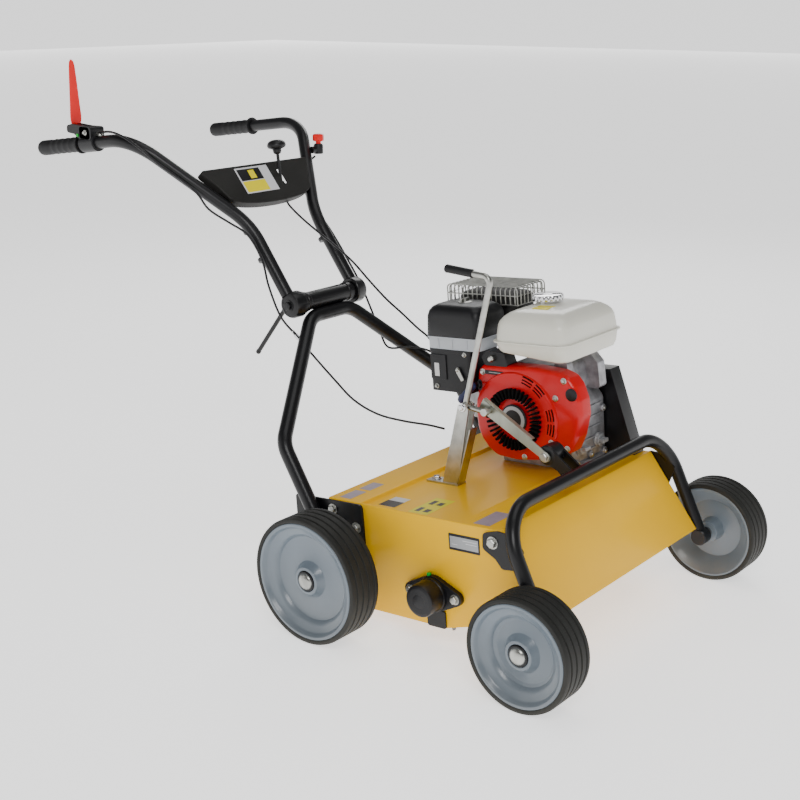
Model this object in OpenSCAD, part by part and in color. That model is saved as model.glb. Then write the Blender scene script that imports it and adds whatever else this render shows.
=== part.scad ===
/* [Wheels] */
// Diameter of each rear wheel
rear_wheel_d = 250; // [240:2:256]
// Diameter of each front wheel
front_wheel_d = 210; // [204:2:214]
// Width of a rear wheel
rear_wheel_w = 74; // [66:2:78]
// Width of a front wheel
front_wheel_w = 73; // [66:1:76]
// Distance between the two axles
wheelbase = 456; // [452:1:460]
// Width over the rear wheels
rear_track = 848; // [840:2:860]
// Width over the front wheels
front_track = 770; // [764:2:780]

/* [Housing] */
// Width over the side plates
housing_w = 546; // [540:2:550]
// Sheet thickness of the housing
sheet_t = 3; // [2:0.5:4]
// How far the nose is raised for transport, in degrees
stance = 5; // [4:0.5:6]
// How deep the top tray is pressed below its edges
tray_step = 8; // [5:1:9]

/* [Rotor] */
// Radius that the blade tips sweep
blade_r = 96; // [84:2:98]
// Number of blade plates on the shaft
blade_count = 19; // [9:1:19]
// Distance from one blade plate to the next
blade_pitch = 24; // [22:1:24]

/* [Handle] */
// Outer radius of the upper handle arms
arm_r = 13.5; // [12:0.5:14]
// Outer radius of the lower frame tube
leg_r = 15; // [14:0.5:15]
// Radius of the rubber grips
grip_r = 16.5; // [15:0.5:18]
// Length of a rubber grip
grip_len = 140; // [110:5:145]

/* [Engine] */
// Width of the fuel tank along the crankshaft
tank_w = 229; // [200:1:232]
// Radius of the belt pulley on the crankshaft
engine_pulley_r = 32; // [28:1:34]
// Radius of the belt pulley on the rotor
rotor_pulley_r = 42; // [38:1:44]

/* [Hidden] */

rear_r = rear_wheel_d / 2;
front_r = front_wheel_d / 2;
axle_r = 10;
fit = 0.05;
side_x = housing_w / 2;

// the handle's points on the left side (+X), measured from the rear axle's ground line
pivot = [100, 321, 554];
arm_knee = [100, 440, 712];
arm_bend = [257, 625, 893];
grip_end = [257.5, 925, 854.5];
arm_path = [pivot + [0, 14, 18.5], arm_knee, arm_bend, grip_end];
arm_bends = [150, 120];
grip_dir = (grip_end - arm_bend) / norm(grip_end - arm_bend);

// the object's middle lies over the origin
reach = grip_end[1] + 4;
origin_y = (reach - wheelbase - front_r) / 2;

// housing outline in its own tilted frame: [back, up] from the rear axle
top_w = 115;
tray_w = top_w - tray_step;
back_v = 61;
front_v = -351;
nose = [-452, -38];
tray_back = -22;
tray_front = -271;
rotor = [-196, -34];
crank = [-167, 215];
drive_x = 252;
frame_pivot = [-339, 92];

// front frame, depth lever and link in the standing frame
cross_bar = [-354, 311];
frame_x = 290;
frame_r = 13.5;
lever_pin = [-113, 408];
crank_pin = [-160, 405];
boss_pin = [-292, 339];
lever_x = -70;
link_x = -56;

function unit(v) = v / norm(v);
function flip(p) = [-p[0], p[1], p[2]];
// a standing [y, z] point in the tilted housing's own frame
function to_deck(p) = [
    p[0] * cos(stance) - (p[1] - rear_r) * sin(stance), p[0] * sin(stance) + (p[1] - rear_r) * cos(stance)
];

// points of the arc that rounds the corner b of a path
function corner(a, b, c, bend, steps = 7) =
    let (u = unit(b - a), w = unit(c - b), turn = acos(u * w), start = b - u * bend * tan(turn / 2),
         side = unit(w - u * (u * w)))
    [for (i = [0:steps]) let (t = turn * i / steps) start + side * bend * (1 - cos(t)) + u * bend * sin(t)];
function rounded(p, bends) = [
    p[0], each [for (i = [1:len(p) - 2]) each corner(p[i - 1], p[i], p[i + 1], bends[i - 1])], p[len(p) - 1]
];
function tangent(p, i) = unit(p[min(i + 1, len(p) - 1)] - p[max(i - 1, 0)]);
function carried(side, t) = unit(side - t * (side * t));
function sides_of(p, i = 0, last = [0, 0, 0]) =
    i >= len(p) ? [] :
    let (t = tangent(p, i), s = i > 0 ? carried(last, t) : unit(cross(t, abs(t[2]) < 0.9 ? [0, 0, 1] : [0, 1, 0])))
    [s, each sides_of(p, i + 1, s)];

// a round tube swept along a list of points
module swept(p, r, n = 16) {
    s = sides_of(p);
    m = len(p);
    rings = [
        for (i = [0:m - 1]) let (t = tangent(p, i), v = cross(t, s[i]))
            for (k = [0:n - 1]) p[i] + r * (s[i] * cos(360 * k / n) + v * sin(360 * k / n))
    ];
    walls = [
        for (i = [0:m - 2]) for (k = [0:n - 1])
            [i * n + k, (i + 1) * n + k, (i + 1) * n + (k + 1) % n, i * n + (k + 1) % n]
    ];
    polyhedron(rings, [[for (k = [0:n - 1]) k], each walls, [for (k = [n - 1:-1:0]) (m - 1) * n + k]]);
}

// a straight round bar between two points
module bar(a, b, r, n = 40) {
    d = b - a;
    translate(a) rotate([0, acos(d[2] / norm(d)), atan2(d[1], d[0])]) cylinder(r = r, h = norm(d), $fn = n);
}

// everything stands in the row frame through one of these two
module placed() {
    translate([0, -origin_y, 0]) children();
}
module in_deck() {
    placed() translate([0, 0, rear_r]) rotate([-stance, 0, 0]) children();
}

// a cylinder along X, from x0 to x1, centred on [y, z]
module x_cyl(x0, x1, c, r, n = 48) {
    translate([min(x0, x1), c[0], c[1]]) rotate([0, 90, 0]) cylinder(r = r, h = abs(x1 - x0), $fn = n);
}
// an outline in [y, z], extruded along X from x0 to x1
module x_plate(x0, x1) {
    translate([min(x0, x1), 0, 0]) rotate([90, 0, 90]) linear_extrude(abs(x1 - x0)) children();
}
module x_box(x0, x1, y0, y1, z0, z1) {
    translate([x0, y0, z0]) cube([x1 - x0, y1 - y0, z1 - z0]);
}
module both_sides() {
    children();
    mirror([1, 0, 0]) children();
}
// outline of a bar with round ends, from a to b
module slot_outline(a, b, r) {
    hull() for (c = [a, b]) translate(c) circle(r = r, $fn = 40);
}

/* ---- housing ---- */

// the miter that moves a corner of a bent sheet inwards by t
function miter(a, b, c, t) =
    let (u = unit(b - a), w = unit(c - b), n1 = [-u[1], u[0]], n2 = [-w[1], w[0]], n = unit(n1 + n2))
    b + n * t / (n * n1);
function inner_line(p, t) =
    let (m = len(p) - 1, u = unit(p[1] - p[0]), w = unit(p[m] - p[m - 1]))
    [p[0] + t * [-u[1], u[0]], each [for (i = [1:m - 1]) miter(p[i - 1], p[i], p[i + 1], t)],
     p[m] + t * [-w[1], w[0]]];
deck_line = [
    [back_v, -30], [back_v, top_w], [tray_back, top_w], [tray_back - 3, tray_w], [tray_front + 3, tray_w],
    [tray_front, top_w], [front_v, top_w], nose
];
belt_slot = [-246, -80];

module deck_top() {
    color("gold") in_deck() difference() {
        x_plate(-side_x + sheet_t + fit, side_x - sheet_t - fit)
            polygon([each deck_line, each [for (i = [len(deck_line) - 1:-1:0]) inner_line(deck_line, sheet_t)[i]]]);
        x_box(drive_x - 14, drive_x + 14, belt_slot[0], belt_slot[1], tray_w - 10, tray_w + 5);
    }
}

module side_plate() {
    in_deck() difference() {
        x_plate(side_x - sheet_t, side_x) polygon([
            [back_v, top_w], [back_v, -60], [22, -102], [-215, -102], nose, [front_v, top_w]
        ]);
        x_cyl(side_x - 10, side_x + 10, [0, 0], axle_r + 1);
        x_cyl(side_x - 10, side_x + 10, frame_pivot, 6 + fit);
        for (p = plate_bolts) x_cyl(side_x - 10, side_x + 10, p, 5 + fit);
        for (s = [-1, 1]) x_cyl(side_x - 10, side_x + 10, rotor + [s * bearing_bolt, 0], 5 + fit);
        x_cyl(side_x - 10, side_x + 10, rotor, 18);
        x_box(side_x - 10, side_x + 10, rotor[0] - 18, rotor[0] + 18, -110, rotor[1]);
    }
}
module side_plate_left() {
    color("gold") side_plate();
}
module side_plate_right() {
    color("gold") mirror([1, 0, 0]) side_plate();
}

plate_t = 5;
plate_bolts = [[46, 94], [-13, 65]];
module axle_plates() {
    color("black") both_sides() in_deck() difference() {
        x_plate(side_x, side_x + plate_t) polygon([
            [-30, 108], [-25, 113], [95, 113], [146, 110], [147, 106], [147, 60], [45, -22], [-26, -24], [-30, -18]
        ]);
        x_cyl(side_x - 5, side_x + 15, [0, 0], axle_r + fit);
        for (p = plate_bolts) x_cyl(side_x - 5, side_x + 15, p, 5 + fit);
    }
}
// hexagon bolt through the side plate: head outside, nut inside
module side_bolt(c, t) {
    x_cyl(side_x - sheet_t - 6, side_x + t + 6, c, 4.9);
    x_cyl(side_x + t, side_x + t + 6, c, 8.5, 6);
    x_cyl(side_x - sheet_t - 7, side_x - sheet_t, c, 8.5, 6);
}
bearing_bolt = 52.5;
bearing_t = 10;
module deck_bolts() {
    color("silver") both_sides() in_deck() {
        for (p = plate_bolts) side_bolt(p, plate_t);
        for (s = [-1, 1]) side_bolt(rotor + [s * bearing_bolt, 0], bearing_t);
    }
    color("silver") both_sides() placed() frame_bolt();
}

module rotor_bearings() {
    color("black") both_sides() in_deck() difference() {
        union() {
            x_plate(side_x, side_x + bearing_t) hull() {
                translate(rotor) circle(r = 36, $fn = 48);
                for (s = [-1, 1]) translate(rotor + [s * bearing_bolt, 0]) circle(r = 14, $fn = 32);
            }
            x_cyl(side_x, side_x + 52, rotor, 32);
        }
        x_cyl(side_x - 5, side_x + 44, rotor, 12.5 + fit);
        for (s = [-1, 1]) x_cyl(side_x - 5, side_x + 20, rotor + [s * bearing_bolt, 0], 5 + fit);
    }
}
module slot_covers() {
    color("black") both_sides() in_deck()
        x_box(side_x, side_x + 4, rotor[0] - 22, rotor[0] + 22, -104, rotor[1] - 37);
}
module rating_plate() {
    color("silver") in_deck()
        x_box(-side_x - 1, -side_x, -306, -236, 60, 92);
}

module rear_axle() {
    color("silver") placed() {
        x_cyl(-rear_track / 2 + cap_seat, rear_track / 2 - cap_seat, [0, rear_r], axle_r);
        both_sides() hub_cap(rear_track / 2 - cap_seat, [0, rear_r]);
    }
}
// domed cap on the end of an axle, which keeps the wheel on
cap_seat = 9.5;
module hub_cap(x, c) {
    translate([x, c[0], c[1]]) rotate([0, 90, 0]) rotate_extrude($fn = 48)
        polygon([[0, 0], [19, 0], [19, 3], [15.5, 4], [14, 8], [8, 11], [0, 12]]);
}

/* ---- wheels: the profiles run from the inner face outwards ---- */

module wheel_at(track, w, y, r) {
    placed() translate([track / 2 - w, y, r]) rotate([0, 90, 0]) rotate_extrude($fn = 96) children();
}
module tyre_profile(r, w) {
    rib = w / 11;
    rim = r - 15;
    polygon([
        [rim, 2], [r * 0.93, 0], [r - 3, 1], [r, 5],
        each [for (i = [1:4]) each [[r, i * 2 * rib + 1], [r - 2.5, i * 2 * rib + 2.5], [r - 2.5, i * 2 * rib + 5],
                                    [r, i * 2 * rib + 6.5]]],
        [r, w - 5], [r - 3, w - 1], [r * 0.93, w], [rim, w - 2]
    ]);
}
module rim_profile(r, w) {
    rim = r - 15.3;
    polygon([
        [axle_r + fit, 4], [22, 4], [24, w - 34], [rim - 26, w - 30], [rim - 14, 10], [rim - 10, 3], [rim, 3],
        [rim, w - 4], [rim - 12, w - 3], [rim - 15, w - 9], [rim - 26, w - 11], [rim - 30, w - 20],
        [34, w - 23], [26, w - 13], [22, w - 10], [axle_r + fit, w - 10]
    ]);
}
module rear_tyre() {
    color("dimgray") wheel_at(rear_track, rear_wheel_w, 0, rear_r) tyre_profile(rear_r, rear_wheel_w);
}
module rear_rim() {
    color("lightslategray") wheel_at(rear_track, rear_wheel_w, 0, rear_r) rim_profile(rear_r, rear_wheel_w);
}
module front_tyre() {
    color("dimgray") wheel_at(front_track, front_wheel_w, -wheelbase, front_r) tyre_profile(front_r, front_wheel_w);
}
module front_rim() {
    color("lightslategray") wheel_at(front_track, front_wheel_w, -wheelbase, front_r)
        rim_profile(front_r, front_wheel_w);
}

/* ---- rotor and belt drive ---- */

module rotor_shaft() {
    color("silver") in_deck() {
        x_cyl(-side_x - 42, side_x + 42, rotor, 12.5);
        x_cyl(drive_x - 9, drive_x - 7, rotor, rotor_pulley_r);
        x_cyl(drive_x + 7, drive_x + 9, rotor, rotor_pulley_r);
        x_cyl(drive_x - 7, drive_x + 7, rotor, rotor_pulley_r - 8);
    }
}
blade_t = 3;
spacer_r = 22;
blades_from = -(blade_count - 1) / 2 * blade_pitch;
module blade_outline() {
    difference() {
        union() {
            circle(r = spacer_r + 10, $fn = 48);
            for (k = [0:3]) rotate(k * 90) polygon([[10, -16], [60, -13], [blade_r - 3, -4], [blade_r, 2], [70, 12],
                                                    [10, 18]]);
        }
        circle(r = 12.5 + fit, $fn = 48);
    }
}
module rotor_blades() {
    color("dimgray") in_deck() for (i = [0:blade_count - 1])
        translate([blades_from + i * blade_pitch - blade_t / 2 - 10, rotor[0], rotor[1]])
            rotate([90, 0, 90]) linear_extrude(blade_t) rotate(i * 22.5) blade_outline();
}
module rotor_spacers() {
    color("silver") in_deck() for (i = [0:blade_count - 2])
        translate([blades_from + i * blade_pitch + blade_t / 2 - 10, rotor[0], rotor[1]])
            rotate([0, 90, 0]) difference() {
                cylinder(r = spacer_r, h = blade_pitch - blade_t, $fn = 48);
                translate([0, 0, -1]) cylinder(r = 12.5 + fit, h = blade_pitch, $fn = 48);
            }
}

fan_x = 45;
module crankshaft() {
    color("silver") in_deck() {
        x_cyl(fan_x + 12, drive_x + 12, crank, 9.5);
        x_cyl(fan_x + 12, fan_x + 36, crank, 70);
        x_cyl(drive_x - 9, drive_x - 7, crank, engine_pulley_r);
        x_cyl(drive_x + 7, drive_x + 9, crank, engine_pulley_r);
        x_cyl(drive_x - 7, drive_x + 7, crank, engine_pulley_r - 8);
    }
}
belt_gap = 0.4;
belt_t = 7;
module belt_loop(grow) {
    hull() {
        translate(crank) circle(r = engine_pulley_r - 8 + belt_gap + grow, $fn = 64);
        translate(rotor) circle(r = rotor_pulley_r - 8 + belt_gap + grow, $fn = 64);
    }
}
module drive_belt() {
    color("black") in_deck() x_plate(drive_x - 6, drive_x + 6) difference() {
        belt_loop(belt_t);
        belt_loop(0);
    }
}
idler_pivot = [-92, 150];
idler_c = [-110, 118];
idler_r = 20;
module idler_pulley() {
    color("silver") in_deck() {
        x_cyl(drive_x - 6, drive_x + 6, idler_c, idler_r);
        x_cyl(drive_x - 12, drive_x + 12, idler_c, 5);
        x_plate(drive_x - 12, drive_x - 8) slot_outline(idler_c, idler_pivot, 7);
        x_cyl(drive_x - 21, drive_x + 12, idler_pivot, 5);
    }
}

/* ---- lower handle frame ---- */

leg_foot = [293, 66, 164];
leg_knee = [287, 176, 326];
leg_top = [62, 305, 524];
hub_in = 80.5;
hub_out = 112;
module lower_handle() {
    color("black") placed() swept(rounded([flip(leg_foot), flip(leg_knee), flip(leg_top), leg_top, leg_knee, leg_foot],
                                          [60, 60, 60, 60]), leg_r);
}
module pivot_tube() {
    color("black") placed() difference() {
        x_cyl(-70, 80, [pivot[1], pivot[2]], 19.5);
        x_cyl(-71, 81, [pivot[1], pivot[2]], 6 + fit);
    }
}
module pivot_bolt() {
    color("silver") placed() {
        x_cyl(-hub_out - 8, hub_out + 8, [pivot[1], pivot[2]], 6);
        x_cyl(-hub_out - 8, -hub_out - 0.3, [pivot[1], pivot[2]], 9.5, 6);
        x_cyl(hub_out + 0.3, hub_out + 8, [pivot[1], pivot[2]], 9.5, 6);
    }
}
module clamp_lever() {
    c = [pivot[1], pivot[2]];
    color("black") placed() difference() {
        union() {
            x_cyl(-70.3, -80.2, c, 24);
            bar([-75.2, 346, 562], [-75.2, 452, 428], 4.8);
        }
        x_cyl(-65, -85, c, 6 + fit);
    }
}

/* ---- front frame ---- */

hub_front = [-wheelbase, front_r];
pivot_yz = [
    frame_pivot[0] * cos(stance) + frame_pivot[1] * sin(stance),
    rear_r - frame_pivot[0] * sin(stance) + frame_pivot[1] * cos(stance)
];
module front_frame() {
    low = [frame_x, hub_front[0] - 3, hub_front[1] - 6];
    top = [frame_x, cross_bar[0], cross_bar[1]];
    color("black") placed() swept(rounded([flip(low), flip(top), top, low], [85, 85]), frame_r);
}
module frame_lugs() {
    leg_at = [-388, 244];
    color("black") placed() {
        both_sides() difference() {
            x_plate(side_x + 1.2, side_x + 5.2) slot_outline(pivot_yz, leg_at, 14);
            x_cyl(side_x - 5, side_x + 15, pivot_yz, 6 + fit);
        }
        for (x = [-52, -22]) x_plate(x, x + 5) polygon([
            [-362, 322], [-346, 322], [-300, 356], [-283, 352], [-276, 339], [-283, 326], [-318, 312], [-332, 298],
            [-345, 300]
        ]);
        x_cyl(-47, -22, boss_pin, 17);
        x_cyl(-64, -10, boss_pin, 5);
        x_cyl(-64, -60, boss_pin, 9, 6);
    }
}
module front_axles() {
    color("silver") placed() both_sides() {
        x_cyl(frame_x, front_track / 2 - cap_seat, hub_front, axle_r);
        hub_cap(front_track / 2 - cap_seat, hub_front);
    }
}
module frame_bolt() {
    x_cyl(side_x - 12, side_x + 12, pivot_yz, 5.95);
    x_cyl(side_x + 5.6, side_x + 12, pivot_yz, 9, 6);
    x_cyl(side_x - 12, side_x - sheet_t, pivot_yz, 9, 6);
}

/* ---- depth lever ---- */

foot_t = 4;
foot_w = tray_w + foot_t;
module lever_bracket() {
    c = to_deck(lever_pin);
    color("silver") in_deck() difference() {
        union() {
            for (x = [lever_x - 12, lever_x + 9])
                x_plate(x, x + 3) polygon([[-76, foot_w - 1], [-115, foot_w - 1], [c[0] - 12, c[1] + 2],
                                           [c[0] - 6, c[1] + 9], [c[0] + 8, c[1] + 6]]);
            x_plate(lever_x - 12, lever_x + 12) polygon([[-112, foot_w - 1], [-115, foot_w - 1],
                                                         [c[0] - 16, c[1] - 44], [c[0] - 13, c[1] - 44]]);
            x_box(lever_x - 14, lever_x + 14, -116, -36, tray_w, foot_w);
        }
        x_cyl(lever_x - 20, lever_x + 20, c, 5 + fit);
    }
}
module depth_lever() {
    x = lever_x;
    knob = [x, -65, 676];
    bend = [x, -169, 672];
    color("silver") placed() {
        swept(rounded([[x, lever_pin[0], lever_pin[1]], [x, -145, 560], bend, knob], [400, 14]), 6, 12);
        x_cyl(x - 8, x + 8, lever_pin, 8.5);
        x_cyl(x - 16, x + 16, lever_pin, 5);
        bar([x, lever_pin[0], lever_pin[1]], [x, crank_pin[0], crank_pin[1]], 5.5);
        x_cyl(x - 5, link_x + 8, crank_pin, 5);
    }
}
module depth_lever_grip() {
    color("black") placed() difference() {
        bar([lever_x, -62, 676.1], [lever_x, -126, 673.6], 8.5);
        bar([lever_x, -64.9, 676], [lever_x, -130, 673.5], 6 + fit);
    }
}
link_a = crank_pin + 22 * unit(crank_pin - boss_pin);
link_b = boss_pin;
// the open end's hole leaves room for the pin's path
link_hole_r = 7;
module depth_link() {
    d = unit(boss_pin - crank_pin);
    n = [-d[1], d[0]];
    color("silver") placed() difference() {
        union() {
            x_plate(link_x - 1.5, link_x + 1.5) polygon([
                link_a + n * 13, link_b + d * 12 + n * 8, link_b + d * 12 - n * 8, link_a - n * 13
            ]);
            x_plate(link_x + 1.5, link_x + 10) polygon([
                link_a - n * 13, link_a - n * 10.5, link_b - d * 40 - n * 10, link_b - d * 40 - n * 12
            ]);
        }
        x_cyl(link_x - 20, link_x + 20, crank_pin, 5 + fit);
        x_cyl(link_x - 20, link_x + 20, boss_pin, link_hole_r);
    }
}

/* ---- upper handle ---- */

module handle_arms() {
    color("black") placed() both_sides() swept(rounded(arm_path, arm_bends), arm_r);
}
module handle_hubs() {
    color("black") placed() both_sides() difference() {
        x_cyl(hub_in, hub_out, [pivot[1], pivot[2]], 28);
        x_cyl(hub_in - 5, hub_out + 5, [pivot[1], pivot[2]], 6 + fit);
    }
}
module grip() {
    start = grip_end - grip_dir * grip_len;
    tail = grip_end + grip_dir * 4;
    placed() difference() {
        union() {
            bar(start, tail, grip_r);
            bar(start, start + grip_dir * 6, grip_r + 4);
        }
        bar(start - grip_dir, grip_end + grip_dir * 0.1, arm_r + fit);
    }
}
module left_grip() {
    color("black") grip();
}
module right_grip() {
    color("black") mirror([1, 0, 0]) grip();
}

// the console lies between the arms; its own frame is [across, up the slope, out of its face]
console_at = [0, 520, 826];
console_tilt = 50;
console_depth = 20;
lever_slot = [-60, -21];
throttle_x = 55;
module console_outline(inset) {
    polygon([
        [-164 + inset, -inset], [164 - inset, -inset], [137 - inset, -46], [124 - inset, -76],
        each [for (t = [1:11]) let (a = 180 * t / 12) [(120 - inset) * cos(a), -76 - (23 - inset) * sin(a)]],
        [-124 + inset, -76], [-137 + inset, -46]
    ]);
}
module console() {
    color("dimgray") placed() translate(console_at) rotate([console_tilt, 0, 0]) difference() {
        translate([0, 0, -console_depth]) linear_extrude(console_depth) console_outline(0);
        translate([0, 0, -console_depth - 1]) linear_extrude(console_depth - 1.5) console_outline(2.5);
        translate([throttle_x - 5, lever_slot[0], -10]) cube([10, lever_slot[1] - lever_slot[0], 20]);
    }
}
throttle_pivot = [496, 777];
throttle_top = [508, 861];
module throttle_lever() {
    x = throttle_x;
    low = [x, throttle_pivot[0], throttle_pivot[1]];
    top = [x, throttle_top[0], throttle_top[1]];
    u = unit(top - low);
    color("black") placed() {
        bar(low, top - u * 4, 3.5);
        x_cyl(x - 5, x + 5, throttle_pivot, 6);
        bar(top - u * 12, top - u * 4, 8);
        bar(top - u * 5, top + u * 4, 20);
        bar(top + u * 3, top + u * 8, 14);
    }
}

clutch_pivot = [803, 905];
module lever_clamp() {
    a = grip_end - grip_dir * 196;
    b = grip_end - grip_dir * 148;
    color("black") placed() mirror([1, 0, 0]) difference() {
        union() {
            bar(a, b, 19);
            for (x = [arm_bend[0] - 18, arm_bend[0] + 8]) x_plate(x, x + 10) polygon([
                [736, 886], [775, 886], [790, 895], [814, 897], [814, 912], [797, 916], [738, 912]
            ]);
            x_box(arm_bend[0] - 18, arm_bend[0] + 18, 733, 772, 886, 912);
        }
        bar(a - grip_dir, b + grip_dir, arm_r + fit);
        x_cyl(arm_bend[0] - 30, arm_bend[0] + 30, clutch_pivot, 4 + fit);
    }
}
module clutch_lever() {
    x = arm_bend[0];
    c = clutch_pivot;
    color("red") placed() mirror([1, 0, 0]) {
        x_cyl(x - 7.5, x + 7.5, c, 7.5);
        x_cyl(x - 18, x + 18, c, 4);
        translate([x, c[0] + 5, c[1] + 4]) rotate([90, 0, 0]) linear_extrude(9) polygon([
            [-7, -8], [7, -8], [7, 11], [14, 22], [14, 30], [8, 130], [5, 140], [0, 142], [-5, 140], [-8, 130],
            [-14, 30], [-14, 22], [-7, 11]
        ]);
    }
}
switch_at = [232, 546, 826];
module switch_body() {
    c = switch_at;
    color("black") placed() difference() {
        union() {
            translate(c + [0, 0, -2]) cylinder(r = 11, h = 24, $fn = 40);
            bar(c + [-22, 4, 8], c + [-4, 1, 8], 8);
        }
        translate(c + [0, 0, 8]) cylinder(r = 6 + fit, h = 20, $fn = 40);
    }
}
button_travel = 4;
module stop_button() {
    c = switch_at;
    color("red") placed() {
        translate(c + [0, 0, 8 + button_travel + 0.5]) cylinder(r = 6, h = 16, $fn = 40);
        translate(c + [0, 0, 22 + button_travel + 0.5]) cylinder(r = 13, h = 17, $fn = 40);
    }
}

/* ---- engine, in the tilted frame; crank is the shaft's centre ---- */

module engine_block() {
    color("silver") in_deck() difference() {
        union() {
            x_box(100, 228, crank[0] - 104, crank[0] + 66, tray_w + 8.5, crank[1] + 60);
            x_box(108, 214, crank[0] - 98, crank[0] + 76, tray_w, tray_w + 8.5);
            x_cyl(228, 236, crank, 44);
        }
        x_cyl(90, 240, crank, 9.5 + fit);
    }
}
// the cylinder leans back; its fins are separate plates on one core
module cylinder_head() {
    color("silver") in_deck() difference() {
        translate([0, crank[0] + 70, crank[1] + 8]) rotate([20, 0, 0]) {
            x_box(112, 212, 0, 82, -26, 38);
            for (i = [0:6]) x_box(102, 222, 4 + i * 11, 9 + i * 11, -34, 44);
        }
        x_box(90, 150, -70, 40, 261, 360);
    }
}
module oil_plugs() {
    color("gray") in_deck() {
        for (x = [128, 196]) translate([x, crank[0] - 104, tray_w + 44]) rotate([90, 0, 0]) {
            cylinder(r = 13, h = 12, $fn = 40);
            translate([0, 0, 12]) cylinder(r = 9, h = 8, $fn = 40);
        }
    }
}
module fan_outline() {
    polygon([[92, 98], [81, 108], [-44, 112], [-104, 107], [-127, 99], [-141, 82], [-151, 53], [-153, 22],
             [-142, -21], [-126, -55], [-95, -70], [-51, -80], [0, -86], [50, -82], [72, -68], [88, -48],
             [97, -27], [99, -6], [99, 38], [97, 60]]);
}
module fan_cover() {
    color("red") in_deck() translate([0, crank[0], crank[1]]) difference() {
        union() {
            x_plate(fan_x + 4, 95.8) fan_outline();
            x_cyl(fan_x - 2, fan_x + 6, [0, 0], 76, 72);
        }
        x_cyl(fan_x + 1, 100, [0, 0], 72.5);
        x_cyl(fan_x - 5, 100, [0, 0], 27);
        for (k = [0:29]) rotate([k * 12, 0, 0]) x_box(fan_x - 5, fan_x + 5, -2, 2, 44, 63);
        x_box(fan_x - 5, 100, 86, 100, 64, 76);
        x_cyl(fan_x - 5, fan_x + 20, switch_c, 4 + fit);
    }
}
// rotary engine switch near the cover's upper corner
switch_c = [76, 70];
module engine_switch() {
    color("black") in_deck() translate([0, crank[0], crank[1]]) {
        x_cyl(fan_x - 2, fan_x + 3.7, switch_c, 9);
        x_cyl(fan_x - 2, fan_x + 18, switch_c, 4);
        x_box(fan_x - 7, fan_x - 2, switch_c[0] - 2.5, switch_c[0] + 2.5, switch_c[1] - 8, switch_c[1] + 8);
    }
}
// pull grip of the recoil starter, with the rope that it draws out
starter_c = [crank[0] + 91, crank[1] + 70];
starter_rope = 180;
module starter_grip() {
    color("midnightblue") in_deck() {
        x_plate(fan_x - 20, fan_x - 8) slot_outline(starter_c + [-1, -4], starter_c + [24, -30], 9);
        x_cyl(fan_x - 8, fan_x - 8 + starter_rope, starter_c, 2.5);
    }
}
// choke lever on the near face of the case under the air cleaner
choke_pivot = [-38, 312];
module choke_lever() {
    color("gray") in_deck() {
        x_plate(37, 40) slot_outline(choke_pivot, choke_pivot + [-13, -22], 4.5);
        x_cyl(37, 43.7, choke_pivot, 4);
    }
}
tank_c = [-218, 347];
tank_l = 184;
module fuel_tank() {
    r = 26;
    color("ivory") in_deck() {
        hull() for (x = [28 + r, 28 + tank_w - r], y = [-1, 1], z = [20, 74])
            translate([x, tank_c[0] + y * (tank_l / 2 - r), tank_c[1] + z]) sphere(r = r - (z == 74 ? 4 : 0), $fn = 24);
        translate(cap_at - [0, 0, 3]) cylinder(r = neck_r, h = 10, $fn = 48);
    }
}
cap_at = [150, -194, 443];
neck_r = 17;
module fuel_cap() {
    color("silver") in_deck() translate(cap_at + [0, 0, 0.3]) difference() {
        union() {
            cylinder(r = 21, h = 4, $fn = 48);
            translate([0, 0, 4]) cylinder(r = 33, h = 14, $fn = 60);
        }
        translate([0, 0, -1]) cylinder(r = neck_r + fit, h = 9, $fn = 48);
    }
}
module air_cleaner_case() {
    color("black") in_deck() {
        x_box(44, 148, -66, 38, 262, 352);
        x_box(42, 150, -93, 45, 352, 378);
    }
}
module air_cleaner_cover() {
    color("black") in_deck() {
        x_box(42, 150, -93, 45, 378.05, 430);
        x_box(50, 142, -84, 36, 430, 444);
        translate([96, -24, 444]) cylinder(r = 8, h = 8, $fn = 6);
    }
}
module carburetor() {
    color("gray") in_deck() {
        x_box(100, 150, -60, -8, 214, 261.9);
        translate([125, -30, 192]) cylinder(r = 19, h = 24, $fn = 40);
    }
}
module muffler() {
    color("gray") in_deck() {
        x_box(160, 250, -106, 52, 338, 428);
        x_cyl(250, 262, [20, 360], 11);
    }
}
module muffler_guard() {
    z0 = 436;
    z1 = 470;
    color("silver") in_deck() {
        for (i = [0:6]) x_box(152 + i * 17, 155 + i * 17, -118, 66, z1 - 3, z1);
        for (y = [-118, -56, 2, 63]) x_box(152, 257, y, y + 3, z1 - 6, z1 - 3);
        for (x = [152, 254], y = [-118, -56, 2, 63]) x_box(x, x + 3, y, y + 3, z0 - 8, z1 - 6);
        for (y = [-118, 63]) x_box(152, 257, y, y + 3, z0 - 8, z0 - 5);
        for (x = [152, 254]) x_box(x, x + 3, -118, 66, z0 - 8, z0 - 5);
    }
}
guard_outline = [
    [-284, 293], [-336, top_w + 0.3], [tray_front, top_w + 0.3], [tray_front + 3, tray_w + 0.3], [-66, tray_w + 0.3],
    [-66, 262], [-96, 293]
];
module belt_guard() {
    color("dimgray") in_deck() difference() {
        x_plate(drive_x - 20, drive_x + 17) polygon(guard_outline);
        x_plate(drive_x - 18, drive_x + 15) polygon([[-280, 290], [-322, 100], [-70, 100], [-70, 259], [-98, 290]]);
        x_cyl(drive_x - 30, drive_x - 10, crank, 46);
        x_cyl(drive_x - 30, drive_x - 10, idler_pivot, 5 + fit);
    }
}

/* ---- control cables, clipped along the tubes ---- */

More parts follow.
